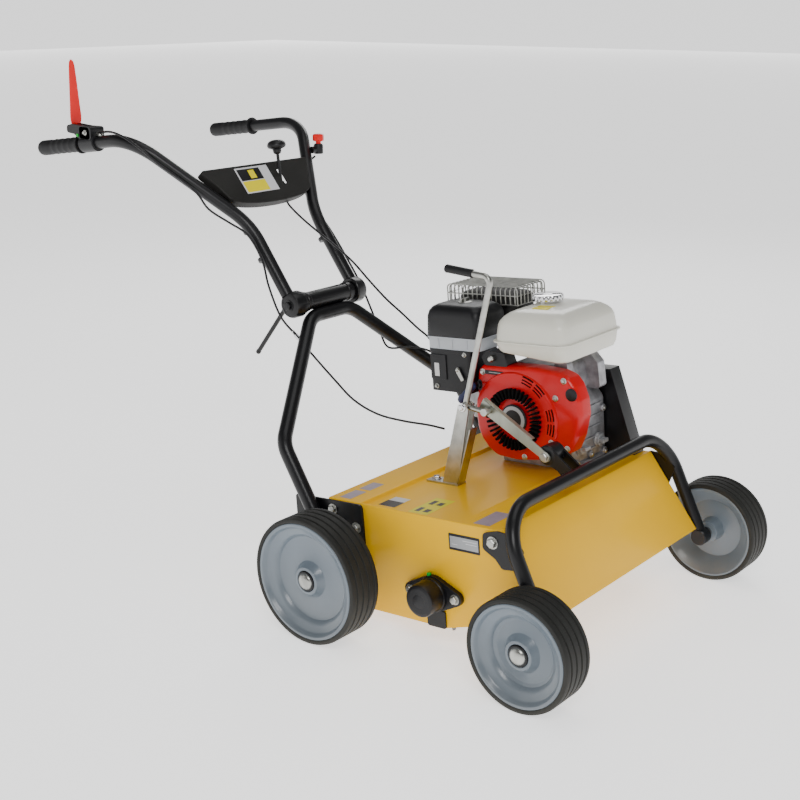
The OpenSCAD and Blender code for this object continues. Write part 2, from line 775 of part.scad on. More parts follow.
clutch_route = [
    [-257, 731, 898], [-264, 686, 905], [-267, 640, 899], [-257, 598, 876], [-232, 564, 840], [-206, 536, 812],
    [-185, 508, 782], [-176, 484, 750], [-150, 452, 722], [-126, 430, 700], [-119, 408, 673], [-119, 385, 636],
    [-120, 370, 590], [-116, 342, 529], [-108, 306, 492], [-87, 279, 449], [-66, 238, 398], [-46, 200, 354],
    [-22, 155, 326], [4, 106, 314], [30, 58, 308], [50, 30, 300]
];
throttle_route = [
    [55, 484, 765], [56, 481, 739], [59, 466, 722], [66, 436, 698], [72, 402, 676], [76, 356, 650], [78, 307, 620],
    [80, 262, 584], [82, 217, 550], [82, 172, 524], [80, 130, 500], [78, 100, 486], [76, 84, 474]
];
switch_route = [
    [226, 552, 818], [196, 552, 800], [160, 527, 767], [131, 486, 732], [122, 438, 699], [122, 404, 664],
    [126, 366, 612], [128, 330, 560], [126, 295, 502], [139, 282, 452], [137, 256, 423], [166, 219, 424],
    [221, 204, 405], [236, 159, 373], [232, 100, 364], [218, 70, 366]
];
module cables() {
    color("black") placed() {
        swept(clutch_route, 2.5, 8);
        swept(throttle_route, 2.5, 8);
        swept(switch_route, 2.5, 8);
    }
}

deck_top();
side_plate_left();
side_plate_right();
axle_plates();
rear_axle();
lower_handle();
pivot_tube();
pivot_bolt();
deck_bolts();
rotor_bearings();
slot_covers();
rating_plate();
lever_bracket();
engine_block();
cylinder_head();
fan_cover();
fuel_tank();
air_cleaner_case();
air_cleaner_cover();
carburetor();
muffler();
muffler_guard();
belt_guard();
drive_belt();
oil_plugs();
front_frame();
frame_lugs();
front_axles();
choke_lever();
engine_switch();
rear_tyre();  // rear_left_tyre
rear_rim();  // rear_left_rim
mirror([1, 0, 0]) rear_tyre();  // rear_right_tyre
mirror([1, 0, 0]) rear_rim();  // rear_right_rim
front_tyre();  // front_left_tyre
front_rim();  // front_left_rim
mirror([1, 0, 0]) front_tyre();  // front_right_tyre
mirror([1, 0, 0]) front_rim();  // front_right_rim
rotor_shaft();
rotor_blades();
rotor_spacers();
crankshaft();
depth_lever();
depth_lever_grip();
depth_link();
handle_arms();
handle_hubs();
console();
left_grip();
right_grip();
lever_clamp();
clutch_lever();
switch_body();
stop_button();
throttle_lever();
clamp_lever();
idler_pulley();
fuel_cap();
starter_grip();
cables();
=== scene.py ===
import math

import bmesh
import bpy
from mathutils import Matrix, Vector


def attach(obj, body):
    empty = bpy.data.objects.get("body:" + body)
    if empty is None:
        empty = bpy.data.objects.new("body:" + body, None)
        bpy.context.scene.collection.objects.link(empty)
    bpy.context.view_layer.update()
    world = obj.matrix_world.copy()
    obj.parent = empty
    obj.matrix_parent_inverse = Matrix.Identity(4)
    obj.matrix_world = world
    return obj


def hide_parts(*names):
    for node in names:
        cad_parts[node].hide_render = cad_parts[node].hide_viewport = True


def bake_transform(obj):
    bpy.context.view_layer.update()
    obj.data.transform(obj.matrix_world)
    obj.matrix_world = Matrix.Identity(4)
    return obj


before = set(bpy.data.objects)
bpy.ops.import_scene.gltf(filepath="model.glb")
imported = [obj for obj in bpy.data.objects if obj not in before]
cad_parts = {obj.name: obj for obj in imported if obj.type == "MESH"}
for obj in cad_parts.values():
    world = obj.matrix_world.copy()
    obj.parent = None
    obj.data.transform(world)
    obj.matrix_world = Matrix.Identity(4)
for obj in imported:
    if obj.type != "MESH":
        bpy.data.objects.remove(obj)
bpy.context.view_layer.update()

# ---- the CAD's own frames: millimetres here, metres in the scene ----

ORIGIN_Y = 184.0
REAR_R = 125.0
FRONT_R = 105.0
WHEELBASE = 456.0
STANCE = math.radians(5)
SIDE_X = 273.0
CRANK = (-167.0, 215.0)
ROTOR = (-196.0, -34.0)
TRAY_W = 107.0
TOP_W = 115.0
PIVOT = (321.0, 554.0)
REAR_TRACK, REAR_WIDTH = 848, 74
FRONT_TRACK, FRONT_WIDTH = 770, 73

CAMERA_PLACE = (-2056.18, -1583.12, 1182.3)
CAMERA_AZIMUTH, CAMERA_ELEVATION, CAMERA_ROLL = math.radians(-50.72), math.radians(17.09), math.radians(-0.2)
LENS = 59.38
SENSOR = 36
LENS_SHIFT = (-0.0058, -0.0016)
VIEW_END = 60
STUDIO_REACH, STUDIO_HEIGHT = 24000, 5000
FLOOR_GLOW, WALL_GLOW, SKY_GLOW = 1.15, 1.40, 0.2

MM = Matrix.Scale(0.001, 4)
STAND = MM @ Matrix.Translation((0, -ORIGIN_Y, 0))
DECK = STAND @ Matrix.Translation((0, 0, REAR_R)) @ Matrix.Rotation(-STANCE, 4, "X")
ENGINE = DECK @ Matrix.Translation((0, CRANK[0], CRANK[1]))


# ---- materials ----

def node(tree, kind, **values):
    made = tree.nodes.new(kind)
    for key, value in values.items():
        setattr(made, key, value)
    return made


def material(name, color, rough, metal=0.0, coat=0.0, spots=0.12, spot_size=14.0, grain=900.0,
             bump=0.08, depth=0.0004, rough_spread=0.08, wear=None, wear_size=0.0012, dust=None,
             stretch=(1, 1, 1), shine=0.5):
    """A finish with cloudy colour, grain in the gloss and the surface, worn edges and dust from below."""
    made = bpy.data.materials.new(name)
    made.use_nodes = True
    tree = made.node_tree
    link = tree.links.new
    shader = tree.nodes["Principled BSDF"]
    shader.inputs["Metallic"].default_value = metal
    shader.inputs["Coat Weight"].default_value = coat
    shader.inputs["Coat Roughness"].default_value = 0.12
    shader.inputs["Specular IOR Level"].default_value = shine
    place = node(tree, "ShaderNodeTexCoord")
    mapping = node(tree, "ShaderNodeMapping")
    mapping.inputs["Scale"].default_value = stretch
    link(place.outputs["Object"], mapping.inputs["Vector"])
    cloud = node(tree, "ShaderNodeTexNoise")
    cloud.inputs["Scale"].default_value = spot_size
    cloud.inputs["Detail"].default_value = 6
    fine = node(tree, "ShaderNodeTexNoise")
    fine.inputs["Scale"].default_value = grain
    fine.inputs["Detail"].default_value = 3
    for noise in (cloud, fine):
        link(mapping.outputs["Vector"], noise.inputs["Vector"])
    ramp = node(tree, "ShaderNodeValToRGB")
    ramp.color_ramp.elements[0].position = 0.3
    ramp.color_ramp.elements[1].position = 0.7
    ramp.color_ramp.elements[0].color = (*[c * (1 - spots) for c in color], 1)
    ramp.color_ramp.elements[1].color = (*[min(1, c * (1 + spots * 0.5)) for c in color], 1)
    link(cloud.outputs["Fac"], ramp.inputs["Fac"])
    colour = ramp.outputs["Color"]
    if wear:
        colour = worn_edges(tree, colour, wear, wear_size, fine)
    if dust:
        colour = settled_dust(tree, colour, dust, place, cloud)
    link(colour, shader.inputs["Base Color"])
    span = node(tree, "ShaderNodeMapRange")
    span.inputs["To Min"].default_value = max(0.03, rough - rough_spread)
    span.inputs["To Max"].default_value = min(1, rough + rough_spread)
    mixed = node(tree, "ShaderNodeMath", operation="MULTIPLY_ADD")
    mixed.inputs[1].default_value = 0.5
    link(fine.outputs["Fac"], mixed.inputs[0])
    half = node(tree, "ShaderNodeMath", operation="MULTIPLY")
    half.inputs[1].default_value = 0.5
    link(cloud.outputs["Fac"], half.inputs[0])
    link(half.outputs[0], mixed.inputs[2])
    link(mixed.outputs[0], span.inputs["Value"])
    link(span.outputs["Result"], shader.inputs["Roughness"])
    relief = node(tree, "ShaderNodeBump")
    relief.inputs["Strength"].default_value = bump
    relief.inputs["Distance"].default_value = depth
    link(fine.outputs["Fac"], relief.inputs["Height"])
    link(relief.outputs["Normal"], shader.inputs["Normal"])
    return made


def worn_edges(tree, colour, wear, size, fine):
    """Mixes the wear colour in where a rounded normal leaves the flat one, broken up by the grain."""
    link = tree.links.new
    bevel = node(tree, "ShaderNodeBevel", samples=4)
    bevel.inputs["Radius"].default_value = size
    flat = node(tree, "ShaderNodeNewGeometry")
    dot = node(tree, "ShaderNodeVectorMath", operation="DOT_PRODUCT")
    link(bevel.outputs["Normal"], dot.inputs[0])
    link(flat.outputs["Normal"], dot.inputs[1])
    edge = node(tree, "ShaderNodeMapRange")
    edge.inputs["From Min"].default_value = 0.985
    edge.inputs["From Max"].default_value = 0.80
    edge.inputs["To Max"].default_value = 0.55
    link(dot.outputs["Value"], edge.inputs["Value"])
    broken = node(tree, "ShaderNodeMath", operation="MULTIPLY")
    link(edge.outputs["Result"], broken.inputs[0])
    link(fine.outputs["Fac"], broken.inputs[1])
    mix = node(tree, "ShaderNodeMix", data_type="RGBA")
    mix.inputs["B"].default_value = (*wear, 1)
    link(broken.outputs[0], mix.inputs["Factor"])
    link(colour, mix.inputs["A"])
    return mix.outputs["Result"]


def settled_dust(tree, colour, dust, place, cloud):
    """Mixes dust in near the floor; object coordinates keep it on the piece as the piece moves."""
    link = tree.links.new
    parts = node(tree, "ShaderNodeSeparateXYZ")
    link(place.outputs["Object"], parts.inputs["Vector"])
    low = node(tree, "ShaderNodeMapRange")
    low.inputs["From Min"].default_value = 0.16
    low.inputs["From Max"].default_value = 0.0
    low.inputs["To Max"].default_value = 0.35
    link(parts.outputs["Z"], low.inputs["Value"])
    patchy = node(tree, "ShaderNodeMath", operation="MULTIPLY")
    link(low.outputs["Result"], patchy.inputs[0])
    link(cloud.outputs["Fac"], patchy.inputs[1])
    mix = node(tree, "ShaderNodeMix", data_type="RGBA")
    mix.inputs["B"].default_value = (*dust, 1)
    link(patchy.outputs[0], mix.inputs["Factor"])
    link(colour, mix.inputs["A"])
    return mix.outputs["Result"]


YELLOW = material("yellow_paint", (1.0, 0.54, 0.0), 0.38, coat=0.06, spots=0.06, spot_size=6, grain=1400,
                  bump=0.10, wear=(0.99, 0.70, 0.12), shine=0.12)
BLACK = material("black_paint", (0.0055, 0.0055, 0.0065), 0.34, coat=0.08, spots=0.25, grain=1100, bump=0.16,
                 wear=(0.07, 0.07, 0.075), shine=0.32)
ZINC = material("zinc_plate", (0.47, 0.47, 0.44), 0.30, metal=1.0, spots=0.25, spot_size=45, grain=700,
                bump=0.10, wear=(0.75, 0.75, 0.74))
ZINC_GREEN = material("zinc_yellowed", (0.40, 0.42, 0.36), 0.34, metal=0.9, spots=0.22, spot_size=30,
                      grain=900, bump=0.08, wear=(0.72, 0.72, 0.66), stretch=(1, 1, 0.25))
CAST = material("cast_alloy", (0.40, 0.40, 0.42), 0.48, metal=0.8, spots=0.35, spot_size=60, grain=650,
                bump=0.35, depth=0.0008, wear=(0.62, 0.62, 0.63))
RED = material("red_paint", (0.62, 0.0, 0.003), 0.30, coat=0.22, spots=0.10, spot_size=9, grain=1500,
               bump=0.06, wear=(0.85, 0.08, 0.06), shine=0.25)
CREAM = material("cream_paint", (0.76, 0.745, 0.65), 0.30, coat=0.35, spots=0.05, spot_size=7, grain=1400,
                 bump=0.06, wear=(0.88, 0.87, 0.80))
PLASTIC = material("black_plastic", (0.0055, 0.0055, 0.007), 0.38, spots=0.3, grain=1300, bump=0.30,
                   wear=(0.05, 0.05, 0.06), shine=0.38)
CONSOLE = material("console_plastic", (0.011, 0.0105, 0.009), 0.50, spots=0.2, grain=1200, bump=0.35,
                   wear=(0.06, 0.06, 0.05), shine=0.3)
RUBBER = material("tyre_rubber", (0.017, 0.017, 0.015), 0.66, spots=0.30, spot_size=22, grain=800,
                  bump=0.40, depth=0.0006, dust=(0.13, 0.12, 0.09), rough_spread=0.12, shine=0.35)
GRIP = material("grip_rubber", (0.006, 0.006, 0.007), 0.55, spots=0.3, grain=1200, bump=0.45,
                wear=(0.045, 0.045, 0.045), shine=0.35)
RIM = material("rim_grey", (0.155, 0.19, 0.225), 0.30, coat=0.25, spots=0.10, spot_size=12, grain=1200,
               bump=0.08, dust=(0.20, 0.18, 0.14), wear=(0.36, 0.41, 0.46))
CHROME = material("chrome", (0.74, 0.74, 0.75), 0.10, metal=1.0, spots=0.10, grain=500, bump=0.02,
                  rough_spread=0.04)
LEVER_RED = material("red_plastic", (0.80, 0.006, 0.004), 0.34, coat=0.12, spots=0.08, grain=1100, bump=0.12,
                     shine=0.25)
STEEL = material("blade_steel", (0.22, 0.22, 0.23), 0.45, metal=0.9, spots=0.4, spot_size=70, grain=600,
                 bump=0.3, wear=(0.50, 0.50, 0.50))
GREY_BAND = material("grey_band", (0.46, 0.49, 0.53), 0.45, spots=0.08, grain=1000, bump=0.15,
                     wear=(0.6, 0.62, 0.64))
# Near-black painted shade, given to the walls of holes and slots made by cut().
PAINTED_SHADE = material("painted_shade_black", (0.003, 0.003, 0.0035), 0.8, spots=0.3, bump=0.3, shine=0.1)
HEAT = material("muffler_steel", (0.02, 0.019, 0.018), 0.55, metal=0.4, spots=0.45, spot_size=30, grain=500,
                bump=0.3, wear=(0.22, 0.20, 0.18))
BLUE = material("blue_plastic", (0.012, 0.020, 0.085), 0.42, spots=0.2, grain=1100, bump=0.3,
                wear=(0.05, 0.07, 0.16), shine=0.35)
LABEL_GREY = material("label_grey", (0.36, 0.37, 0.38), 0.35, metal=0.3, spots=0.08, grain=900, bump=0.05)
LABEL_YELLOW = material("label_yellow", (0.88, 0.74, 0.0), 0.40, spots=0.05, grain=900, bump=0.04, shine=0.2)
LABEL_WHITE = material("label_white", (0.66, 0.66, 0.68), 0.35, spots=0.05, grain=900, bump=0.04)
LABEL_MAUVE = material("label_mauve", (0.36, 0.29, 0.34), 0.4, spots=0.12, spot_size=60, grain=900, bump=0.04)
GREEN = material("green_cap", (0.0, 0.42, 0.03), 0.4, spots=0.1, bump=0.1, shine=0.3)
CABLE = material("cable_jacket", (0.006, 0.006, 0.007), 0.36, spots=0.2, grain=900, bump=0.15, shine=0.35)


# ---- shapes ----

class Shape:
    """Closed solids in millimetres, gathered into one piece. Each solid has a material number."""

    def __init__(self):
        self.verts, self.faces, self.slots = [], [], []

    def add(self, verts, faces, slot=0):
        base = len(self.verts)
        self.verts += [Vector(v) for v in verts]
        self.faces += [[base + i for i in f] for f in faces]
        self.slots += [slot] * len(faces)
        return self

    def prism(self, outline, x0, x1, slot=0):
        """An outline in (y, z), extruded along X."""
        n = len(outline)
        verts = [(x, y, z) for x in (x0, x1) for y, z in outline]
        walls = [[i, (i + 1) % n, n + (i + 1) % n, n + i] for i in range(n)]
        return self.add(verts, [list(range(n))[::-1], list(range(n, 2 * n)), *walls], slot)

    def box(self, x0, x1, y0, y1, z0, z1, slot=0):
        return self.prism([(y0, z0), (y1, z0), (y1, z1), (y0, z1)], x0, x1, slot)

    def lathe(self, profile, origin, axis, sides=48, slot=0, turn=0.0):
        """A profile of (radius, height) round an axis. It is closed at both ends."""
        e1, e2, e3 = basis(axis)
        origin = Vector(origin)
        verts, faces = [], []
        for r, h in profile:
            for k in range(sides):
                a = turn + 2 * math.pi * k / sides
                verts.append(origin + e3 * h + (e1 * math.cos(a) + e2 * math.sin(a)) * max(r, 0.01))
        for i in range(len(profile) - 1):
            for k in range(sides):
                j = (k + 1) % sides
                faces.append([i * sides + k, i * sides + j, (i + 1) * sides + j, (i + 1) * sides + k])
        last = (len(profile) - 1) * sides
        return self.add(verts, [list(range(sides))[::-1], *faces, list(range(last, last + sides))], slot)

    def ring(self, profile, origin, axis, sides=96, slot=0):
        """A closed profile of (radius, height) turned into a ring."""
        e1, e2, e3 = basis(axis)
        origin = Vector(origin)
        n = len(profile)
        verts = []
        for k in range(sides):
            a = 2 * math.pi * k / sides
            out = e1 * math.cos(a) + e2 * math.sin(a)
            verts += [origin + e3 * h + out * r for r, h in profile]
        faces = [[k * n + i, k * n + (i + 1) % n, (k + 1) % sides * n + (i + 1) % n, (k + 1) % sides * n + i]
                 for k in range(sides) for i in range(n)]
        return self.add(verts, faces, slot)

    def tube(self, path, r, sides=24, slot=0, closed=False):
        """A round bar along a path; r may be a number for each point."""
        path = [Vector(p) for p in path]
        m = len(path)
        radii = r if hasattr(r, "__len__") else [r] * m
        side, verts = None, []
        for i, p in enumerate(path):
            before = path[(i - 1) % m] if closed or i else p
            after = path[(i + 1) % m] if closed or i < m - 1 else p
            t = (after - before).normalized()
            side = basis(t)[0] if side is None else (side - t * side.dot(t)).normalized()
            other = t.cross(side)
            for k in range(sides):
                a = 2 * math.pi * k / sides
                verts.append(p + (side * math.cos(a) + other * math.sin(a)) * radii[i])
        spans = m if closed else m - 1
        faces = [[i * sides + k, i * sides + (k + 1) % sides, (i + 1) % m * sides + (k + 1) % sides,
                  (i + 1) % m * sides + k] for i in range(spans) for k in range(sides)]
        if not closed:
            faces += [list(range(sides))[::-1], list(range((m - 1) * sides, m * sides))]
        return self.add(verts, faces, slot)

    def loft(self, sections, slot=0):
        """Closed loops with the same number of points, joined in order."""
        n = len(sections[0])
        verts = [p for s in sections for p in s]
        faces = [[i * n + k, i * n + (k + 1) % n, (i + 1) * n + (k + 1) % n, (i + 1) * n + k]
                 for i in range(len(sections) - 1) for k in range(n)]
        last = (len(sections) - 1) * n
        return self.add(verts, [list(range(n))[::-1], *faces, list(range(last, last + n))], slot)

    def bolt(self, origin, axis, across=8.5, height=6.0, washer=11.0, slot=0):
        """A hexagon head with a chamfered top, on a washer."""
        if washer:
            self.lathe([(washer, 0), (washer, 1.2), (washer - 0.4, 1.6)], origin, axis, 32, slot)
        base = 1.6 if washer else 0
        self.lathe([(across, base), (across, base + height - 1.2), (across - 1.4, base + height)],
                   origin, axis, 6, slot, 0.3)
        return self.lathe([(across * 0.55, base + height), (across * 0.5, base + height + 0.5)],
                          origin, axis, 20, slot)

    def screw(self, origin, axis, r=5.0, slot=0):
        """A flanged screw with a small domed head."""
        self.lathe([(r * 1.45, 0), (r * 1.45, 0.8), (r * 1.2, 1.3)], origin, axis, 28, slot)
        return self.lathe([(r, 1.2), (r, 4), (r * 0.8, 5.2), (r * 0.35, 5.6)], origin, axis, 6, slot)


def basis(axis):
    e3 = Vector(axis).normalized()
    e1 = (Vector((0, 0, 1)) if abs(e3.z) < 0.9 else Vector((0, 1, 0))).cross(e3).normalized()
    return e1, e3.cross(e1), e3


def fillet(points, radius, steps=5):
    """Rounds the corners of a closed outline; radius may be a number for each corner."""
    out = []
    n = len(points)
    for i in range(n):
        r = radius[i] if hasattr(radius, "__len__") else radius
        a, b, c = (Vector(points[j % n]) for j in (i - 1, i, i + 1))
        u, w = (a - b), (c - b)
        half = u.angle(w) / 2
        if r <= 0 or half > math.pi / 2 - 0.02:
            out.append(tuple(b))
            continue
        cut = min(r / math.tan(half), u.length * 0.48, w.length * 0.48)
        r = cut * math.tan(half)
        u.normalize()
        w.normalize()
        centre = b + (u + w).normalized() * (r / math.sin(half))
        start, end = b + u * cut - centre, b + w * cut - centre
        sweep = start.angle_signed(end)
        for k in range(steps + 1):
            turned = Matrix.Rotation(-sweep * k / steps, 2) @ start
            out.append(tuple(centre + turned))
    return out


def bent(points, bends, steps=14):
    """A path whose corners are arcs, one radius for each inner corner."""
    pts = [Vector(p) for p in points]
    out = [pts[0]]
    for i in range(1, len(pts) - 1):
        u = (pts[i] - pts[i - 1]).normalized()
        w = (pts[i + 1] - pts[i]).normalized()
        turn = u.angle(w)
        start = pts[i] - u * bends[i - 1] * math.tan(turn / 2)
        side = (w - u * u.dot(w)).normalized()
        for k in range(steps + 1):
            t = turn * k / steps
            out.append(start + side * bends[i - 1] * (1 - math.cos(t)) + u * bends[i - 1] * math.sin(t))
    return out + [pts[-1]]


def smooth(points, per=6):
    """A curve through the points, for cables."""
    pts = [Vector(p) for p in points]
    out = []
    for i in range(len(pts) - 1):
        a, b, c, d = pts[max(i - 1, 0)], pts[i], pts[i + 1], pts[min(i + 2, len(pts) - 1)]
        for k in range(per):
            t = k / per
            out.append(0.5 * ((2 * b) + (c - a) * t + (2 * a - 5 * b + 4 * c - d) * t * t
                              + (3 * b - a - 3 * c + d) * t ** 3))
    return out + [pts[-1]]


def rounded_loop(x0, x1, y0, y1, r, z, steps=6):
    """A rectangle with round corners, at one height."""
    corners = [(x0, y0), (x1, y0), (x1, y1), (x0, y1)]
    return [(x, y, z) for x, y in fillet(corners, r, steps)]


def mirrored(points):
    return [(-x, y, z) for x, y, z in points]


def linked(name, shape, where, finishes):
    """An object in the scene from a shape's solids, with their normals turned outwards."""
    mesh = bpy.data.meshes.new(name)
    mesh.from_pydata([where @ v for v in shape.verts], [], shape.faces)
    for finish in finishes:
        mesh.materials.append(finish)
    mesh.polygons.foreach_set("material_index", shape.slots)
    turned = bmesh.new()
    turned.from_mesh(mesh)
    bmesh.ops.recalc_face_normals(turned, faces=turned.faces)
    turned.to_mesh(mesh)
    turned.free()
    made = bpy.data.objects.new(name, mesh)
    bpy.context.scene.collection.objects.link(made)
    return made


def shade_smooth(mesh):
    for face in mesh.polygons:
        face.use_smooth = True


def piece(name, shape, body, finishes, where=STAND, replaces=(), bevel=0.0, segments=2,
          sharp=35, body_b=None):
    """One visible piece on a CAD body; with body_b it is left unattached, its transform baked into the mesh."""
    made = linked(name, shape, where, finishes)
    shade_smooth(made.data)
    made.data.set_sharp_from_angle(angle=math.radians(sharp))
    if bevel:
        round_off(made, bevel, segments)
    if body_b:
        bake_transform(made)
    else:
        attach(made, body)
    if replaces:
        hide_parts(*replaces)
    return made


def round_off(made, width, segments):
    edge = made.modifiers.new("edge", "BEVEL")
    edge.width = width / 1000
    edge.segments = segments
    edge.limit_method = "ANGLE"
    edge.angle_limit = math.radians(32)
    edge.harden_normals = True


def dress(node_name, finish, bevel=0.0, segments=2):
    """A carried-over CAD node gets a material and, by modifiers, rounded edges."""
    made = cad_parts[node_name]
    made.data.materials.clear()
    made.data.materials.append(finish)
    if bevel:
        weld = made.modifiers.new("weld", "WELD")
        weld.merge_threshold = 0.00001
        flat = made.modifiers.new("flat", "DECIMATE")
        flat.decimate_type = "DISSOLVE"
        flat.angle_limit = math.radians(1)
        shade_smooth(made.data)
        round_off(made, bevel, segments)


def cut(made, shape, where):
    """Cuts a shape out of a piece; the cut faces get near-black painted shade."""
    cutter = linked("cutter", shape, where, [PAINTED_SHADE])
    step = made.modifiers.new("cut", "BOOLEAN")
    step.operation = "DIFFERENCE"
    step.solver = "EXACT"
    step.material_mode = "TRANSFER"
    step.object = cutter
    bpy.context.view_layer.update()
    result = bpy.data.meshes.new_from_object(made.evaluated_get(bpy.context.evaluated_depsgraph_get()))
    made.modifiers.clear()
    made.data = result
    bpy.data.objects.remove(cutter)
    made.data.set_sharp_from_angle(angle=math.radians(35))


# ---- camera, light and floor ----

def camera():
    data = bpy.data.cameras.new("camera")
    data.lens = LENS
    data.sensor_width = SENSOR
    data.shift_x, data.shift_y = LENS_SHIFT
    data.clip_end = VIEW_END
    made = bpy.data.objects.new("camera", data)
    bpy.context.scene.collection.objects.link(made)
    back = Vector((math.sin(CAMERA_AZIMUTH) * math.cos(CAMERA_ELEVATION),
                   -math.cos(CAMERA_AZIMUTH) * math.cos(CAMERA_ELEVATION), math.sin(CAMERA_ELEVATION)))
    right = (-back).cross(Vector((0, 0, 1))).normalized()
    up = right.cross(-back)
    c, s = math.cos(CAMERA_ROLL), math.sin(CAMERA_ROLL)
    right, up = right * c + up * s, up * c - right * s
    turned = Matrix((right, up, back)).transposed().to_4x4()
    made.matrix_world = Matrix.Translation(STAND @ Vector(CAMERA_PLACE)) @ turned
    bpy.context.scene.camera = made


def light(name, place, size, power):
    """An area light aimed at the machine's middle."""
    data = bpy.data.lights.new(name, "AREA")
    data.shape = "RECTANGLE"
    data.size, data.size_y = size
    data.energy = power
    made = bpy.data.objects.new(name, data)
    bpy.context.scene.collection.objects.link(made)
    made.location = place
    made.rotation_mode = "QUATERNION"
    made.rotation_quaternion = (Vector((0, 0, 0.4)) - Vector(place)).to_track_quat("-Z", "Y")


def studio():
    """Soft lights, a pale floor and low pale walls that stand where its horizon would show."""
    light("key", (-2.4, -2.2, 3.0), (1.7, 1.4), 62)
    light("fill", (-3.0, 2.2, 1.8), (2.2, 2.2), 12)
    light("rim", (2.8, 1.6, 2.4), (1.8, 1.2), 32)
    light("top", (0.2, -0.4, 3.8), (2.4, 2.4), 28)
    world = bpy.data.worlds.new("studio")
    world.use_nodes = True
    sky = world.node_tree.nodes["Background"]
    sky.inputs["Color"].default_value = (1, 1, 1, 1)
    sky.inputs["Strength"].default_value = SKY_GLOW
    bpy.context.scene.world = world
    far, high = STUDIO_REACH, STUDIO_HEIGHT
    floor, walls = Shape(), Shape()
    floor.box(-far, far, -far, far, -20, 0)
    for near_wall in (far, -far - 20):
        walls.box(-far, far, near_wall, near_wall + 20, 0, high)
    for near_wall in (far, -far - 20):
        walls.box(near_wall, near_wall + 20, -far, far, 0, high)
    for name, shape, paint, glow in (("floor", floor, 0.95, FLOOR_GLOW), ("walls", walls, 0.05, WALL_GLOW)):
        finish = material("pale_" + name, (paint, paint, paint), 0.8, spots=0.01, spot_size=1, grain=60,
                          bump=0.02, shine=0.1)
        shader = finish.node_tree.nodes["Principled BSDF"]
        shader.inputs["Emission Color"].default_value = (1, 1, 1, 1)
        shader.inputs["Emission Strength"].default_value = glow
        linked(name, shape, MM, [finish])


# ---- wheels ----

def wheel(name, track, width, y, r):
    """Tyre and rim; heights run inwards from the outer face."""
    side = 1 if track > 0 else -1
    outer = Vector((track / 2, y, r))
    axis = (-side, 0, 0)
    edge = r - 9.5
    groove = [(r - 1.2, 1.2), (r, 5)]
    for i in range(4):
        at = 13 + i * (width - 26) / 3.0
        groove += [(r, at - 2.6), (r - 2.4, at - 1.5), (r - 2.4, at + 1.5), (r, at + 2.6)]
    tyre = Shape().ring([(edge, 1.6), (edge + 3, 0.2), (r - 4.5, 0.2), *groove, (r, width - 5),
                         (r - 1.2, width - 1.2), (r - 4.5, width - 0.2), (edge, width - 1.6)],
                        outer, axis, 128)
    piece(name + "_tyre_skin", tyre, name + "_wheel", [RUBBER], replaces=[name + "_tyre"],
          bevel=0.5)
    rim = Shape().ring([
        (edge - 0.2, 1.8), (edge - 2, 0.6), (edge - 6, 0.6), (edge - 8, 2.6), (edge - 10, 8.5), (edge - 13, 11.5),
        (edge - 23, 14.5), (edge - 28, 18), (edge - 32, 25), (edge - 38, 28), (46, 26.5), (36, 23), (30, 14.5),
        (27, 8.5), (22, 7.5), (20.5, 9), (20.5, 13), (10.1, 13), (10.1, width - 5), (22, width - 5), (25, 40),
        (edge - 34, 38), (edge - 15, width - 12), (edge - 4, width - 2), (edge - 0.2, width - 1.8)
    ], outer, axis, 128)
    piece(name + "_rim_skin", rim, name + "_wheel", [RIM], replaces=[name + "_rim"],
          bevel=0.9, segments=3)


def hub_caps(name, track, y, r, body, node_name, bar_from=0.0):
    """The axle with the black washer and the domed cap at each end."""
    made = Shape()
    for side in (-1, 1):
        seat = Vector((side * (track / 2 - 9.5), y, r))
        axis = (side, 0, 0)
        made.lathe([(19.8, -1), (19.8, 2), (18.4, 3.2), (16.6, 3.2)], seat, axis, 48, 1)
        dome = [(16.5 * math.cos(t), 2 + 8.8 * math.sin(t)) for t in [i * math.pi / 20 for i in range(11)]]
        made.lathe([(16.5, 0.5), *dome], seat, axis, 48)
        if bar_from:
            made.lathe([(9.9, bar_from), (9.9, track / 2 - 9)], (0, y, r), axis, 32)
    if not bar_from:
        made.lathe([(9.9, 0), (9.9, track - 18)], (-track / 2 + 9, y, r), (1, 0, 0), 32)
    piece(name, made, body, [ZINC, BLACK], replaces=[node_name], sharp=40)


def wheels():
    for side, name in ((1, "left"), (-1, "right")):
        wheel(f"rear_{name}", side * REAR_TRACK, REAR_WIDTH, 0, REAR_R)
        wheel(f"front_{name}", side * FRONT_TRACK, FRONT_WIDTH, -WHEELBASE, FRONT_R)
    hub_caps("rear_axle_skin", REAR_TRACK, 0, REAR_R, "chassis", "rear_axle")
    hub_caps("front_axles_skin", FRONT_TRACK, -WHEELBASE, FRONT_R, "front_frame", "front_axles", 290.0)


# ---- housing ----

BACK_V, FRONT_V, NOSE = 61.0, -351.0, (-452.0, -38.0)
TRAY_BACK, TRAY_FRONT = -22.0, -271.0


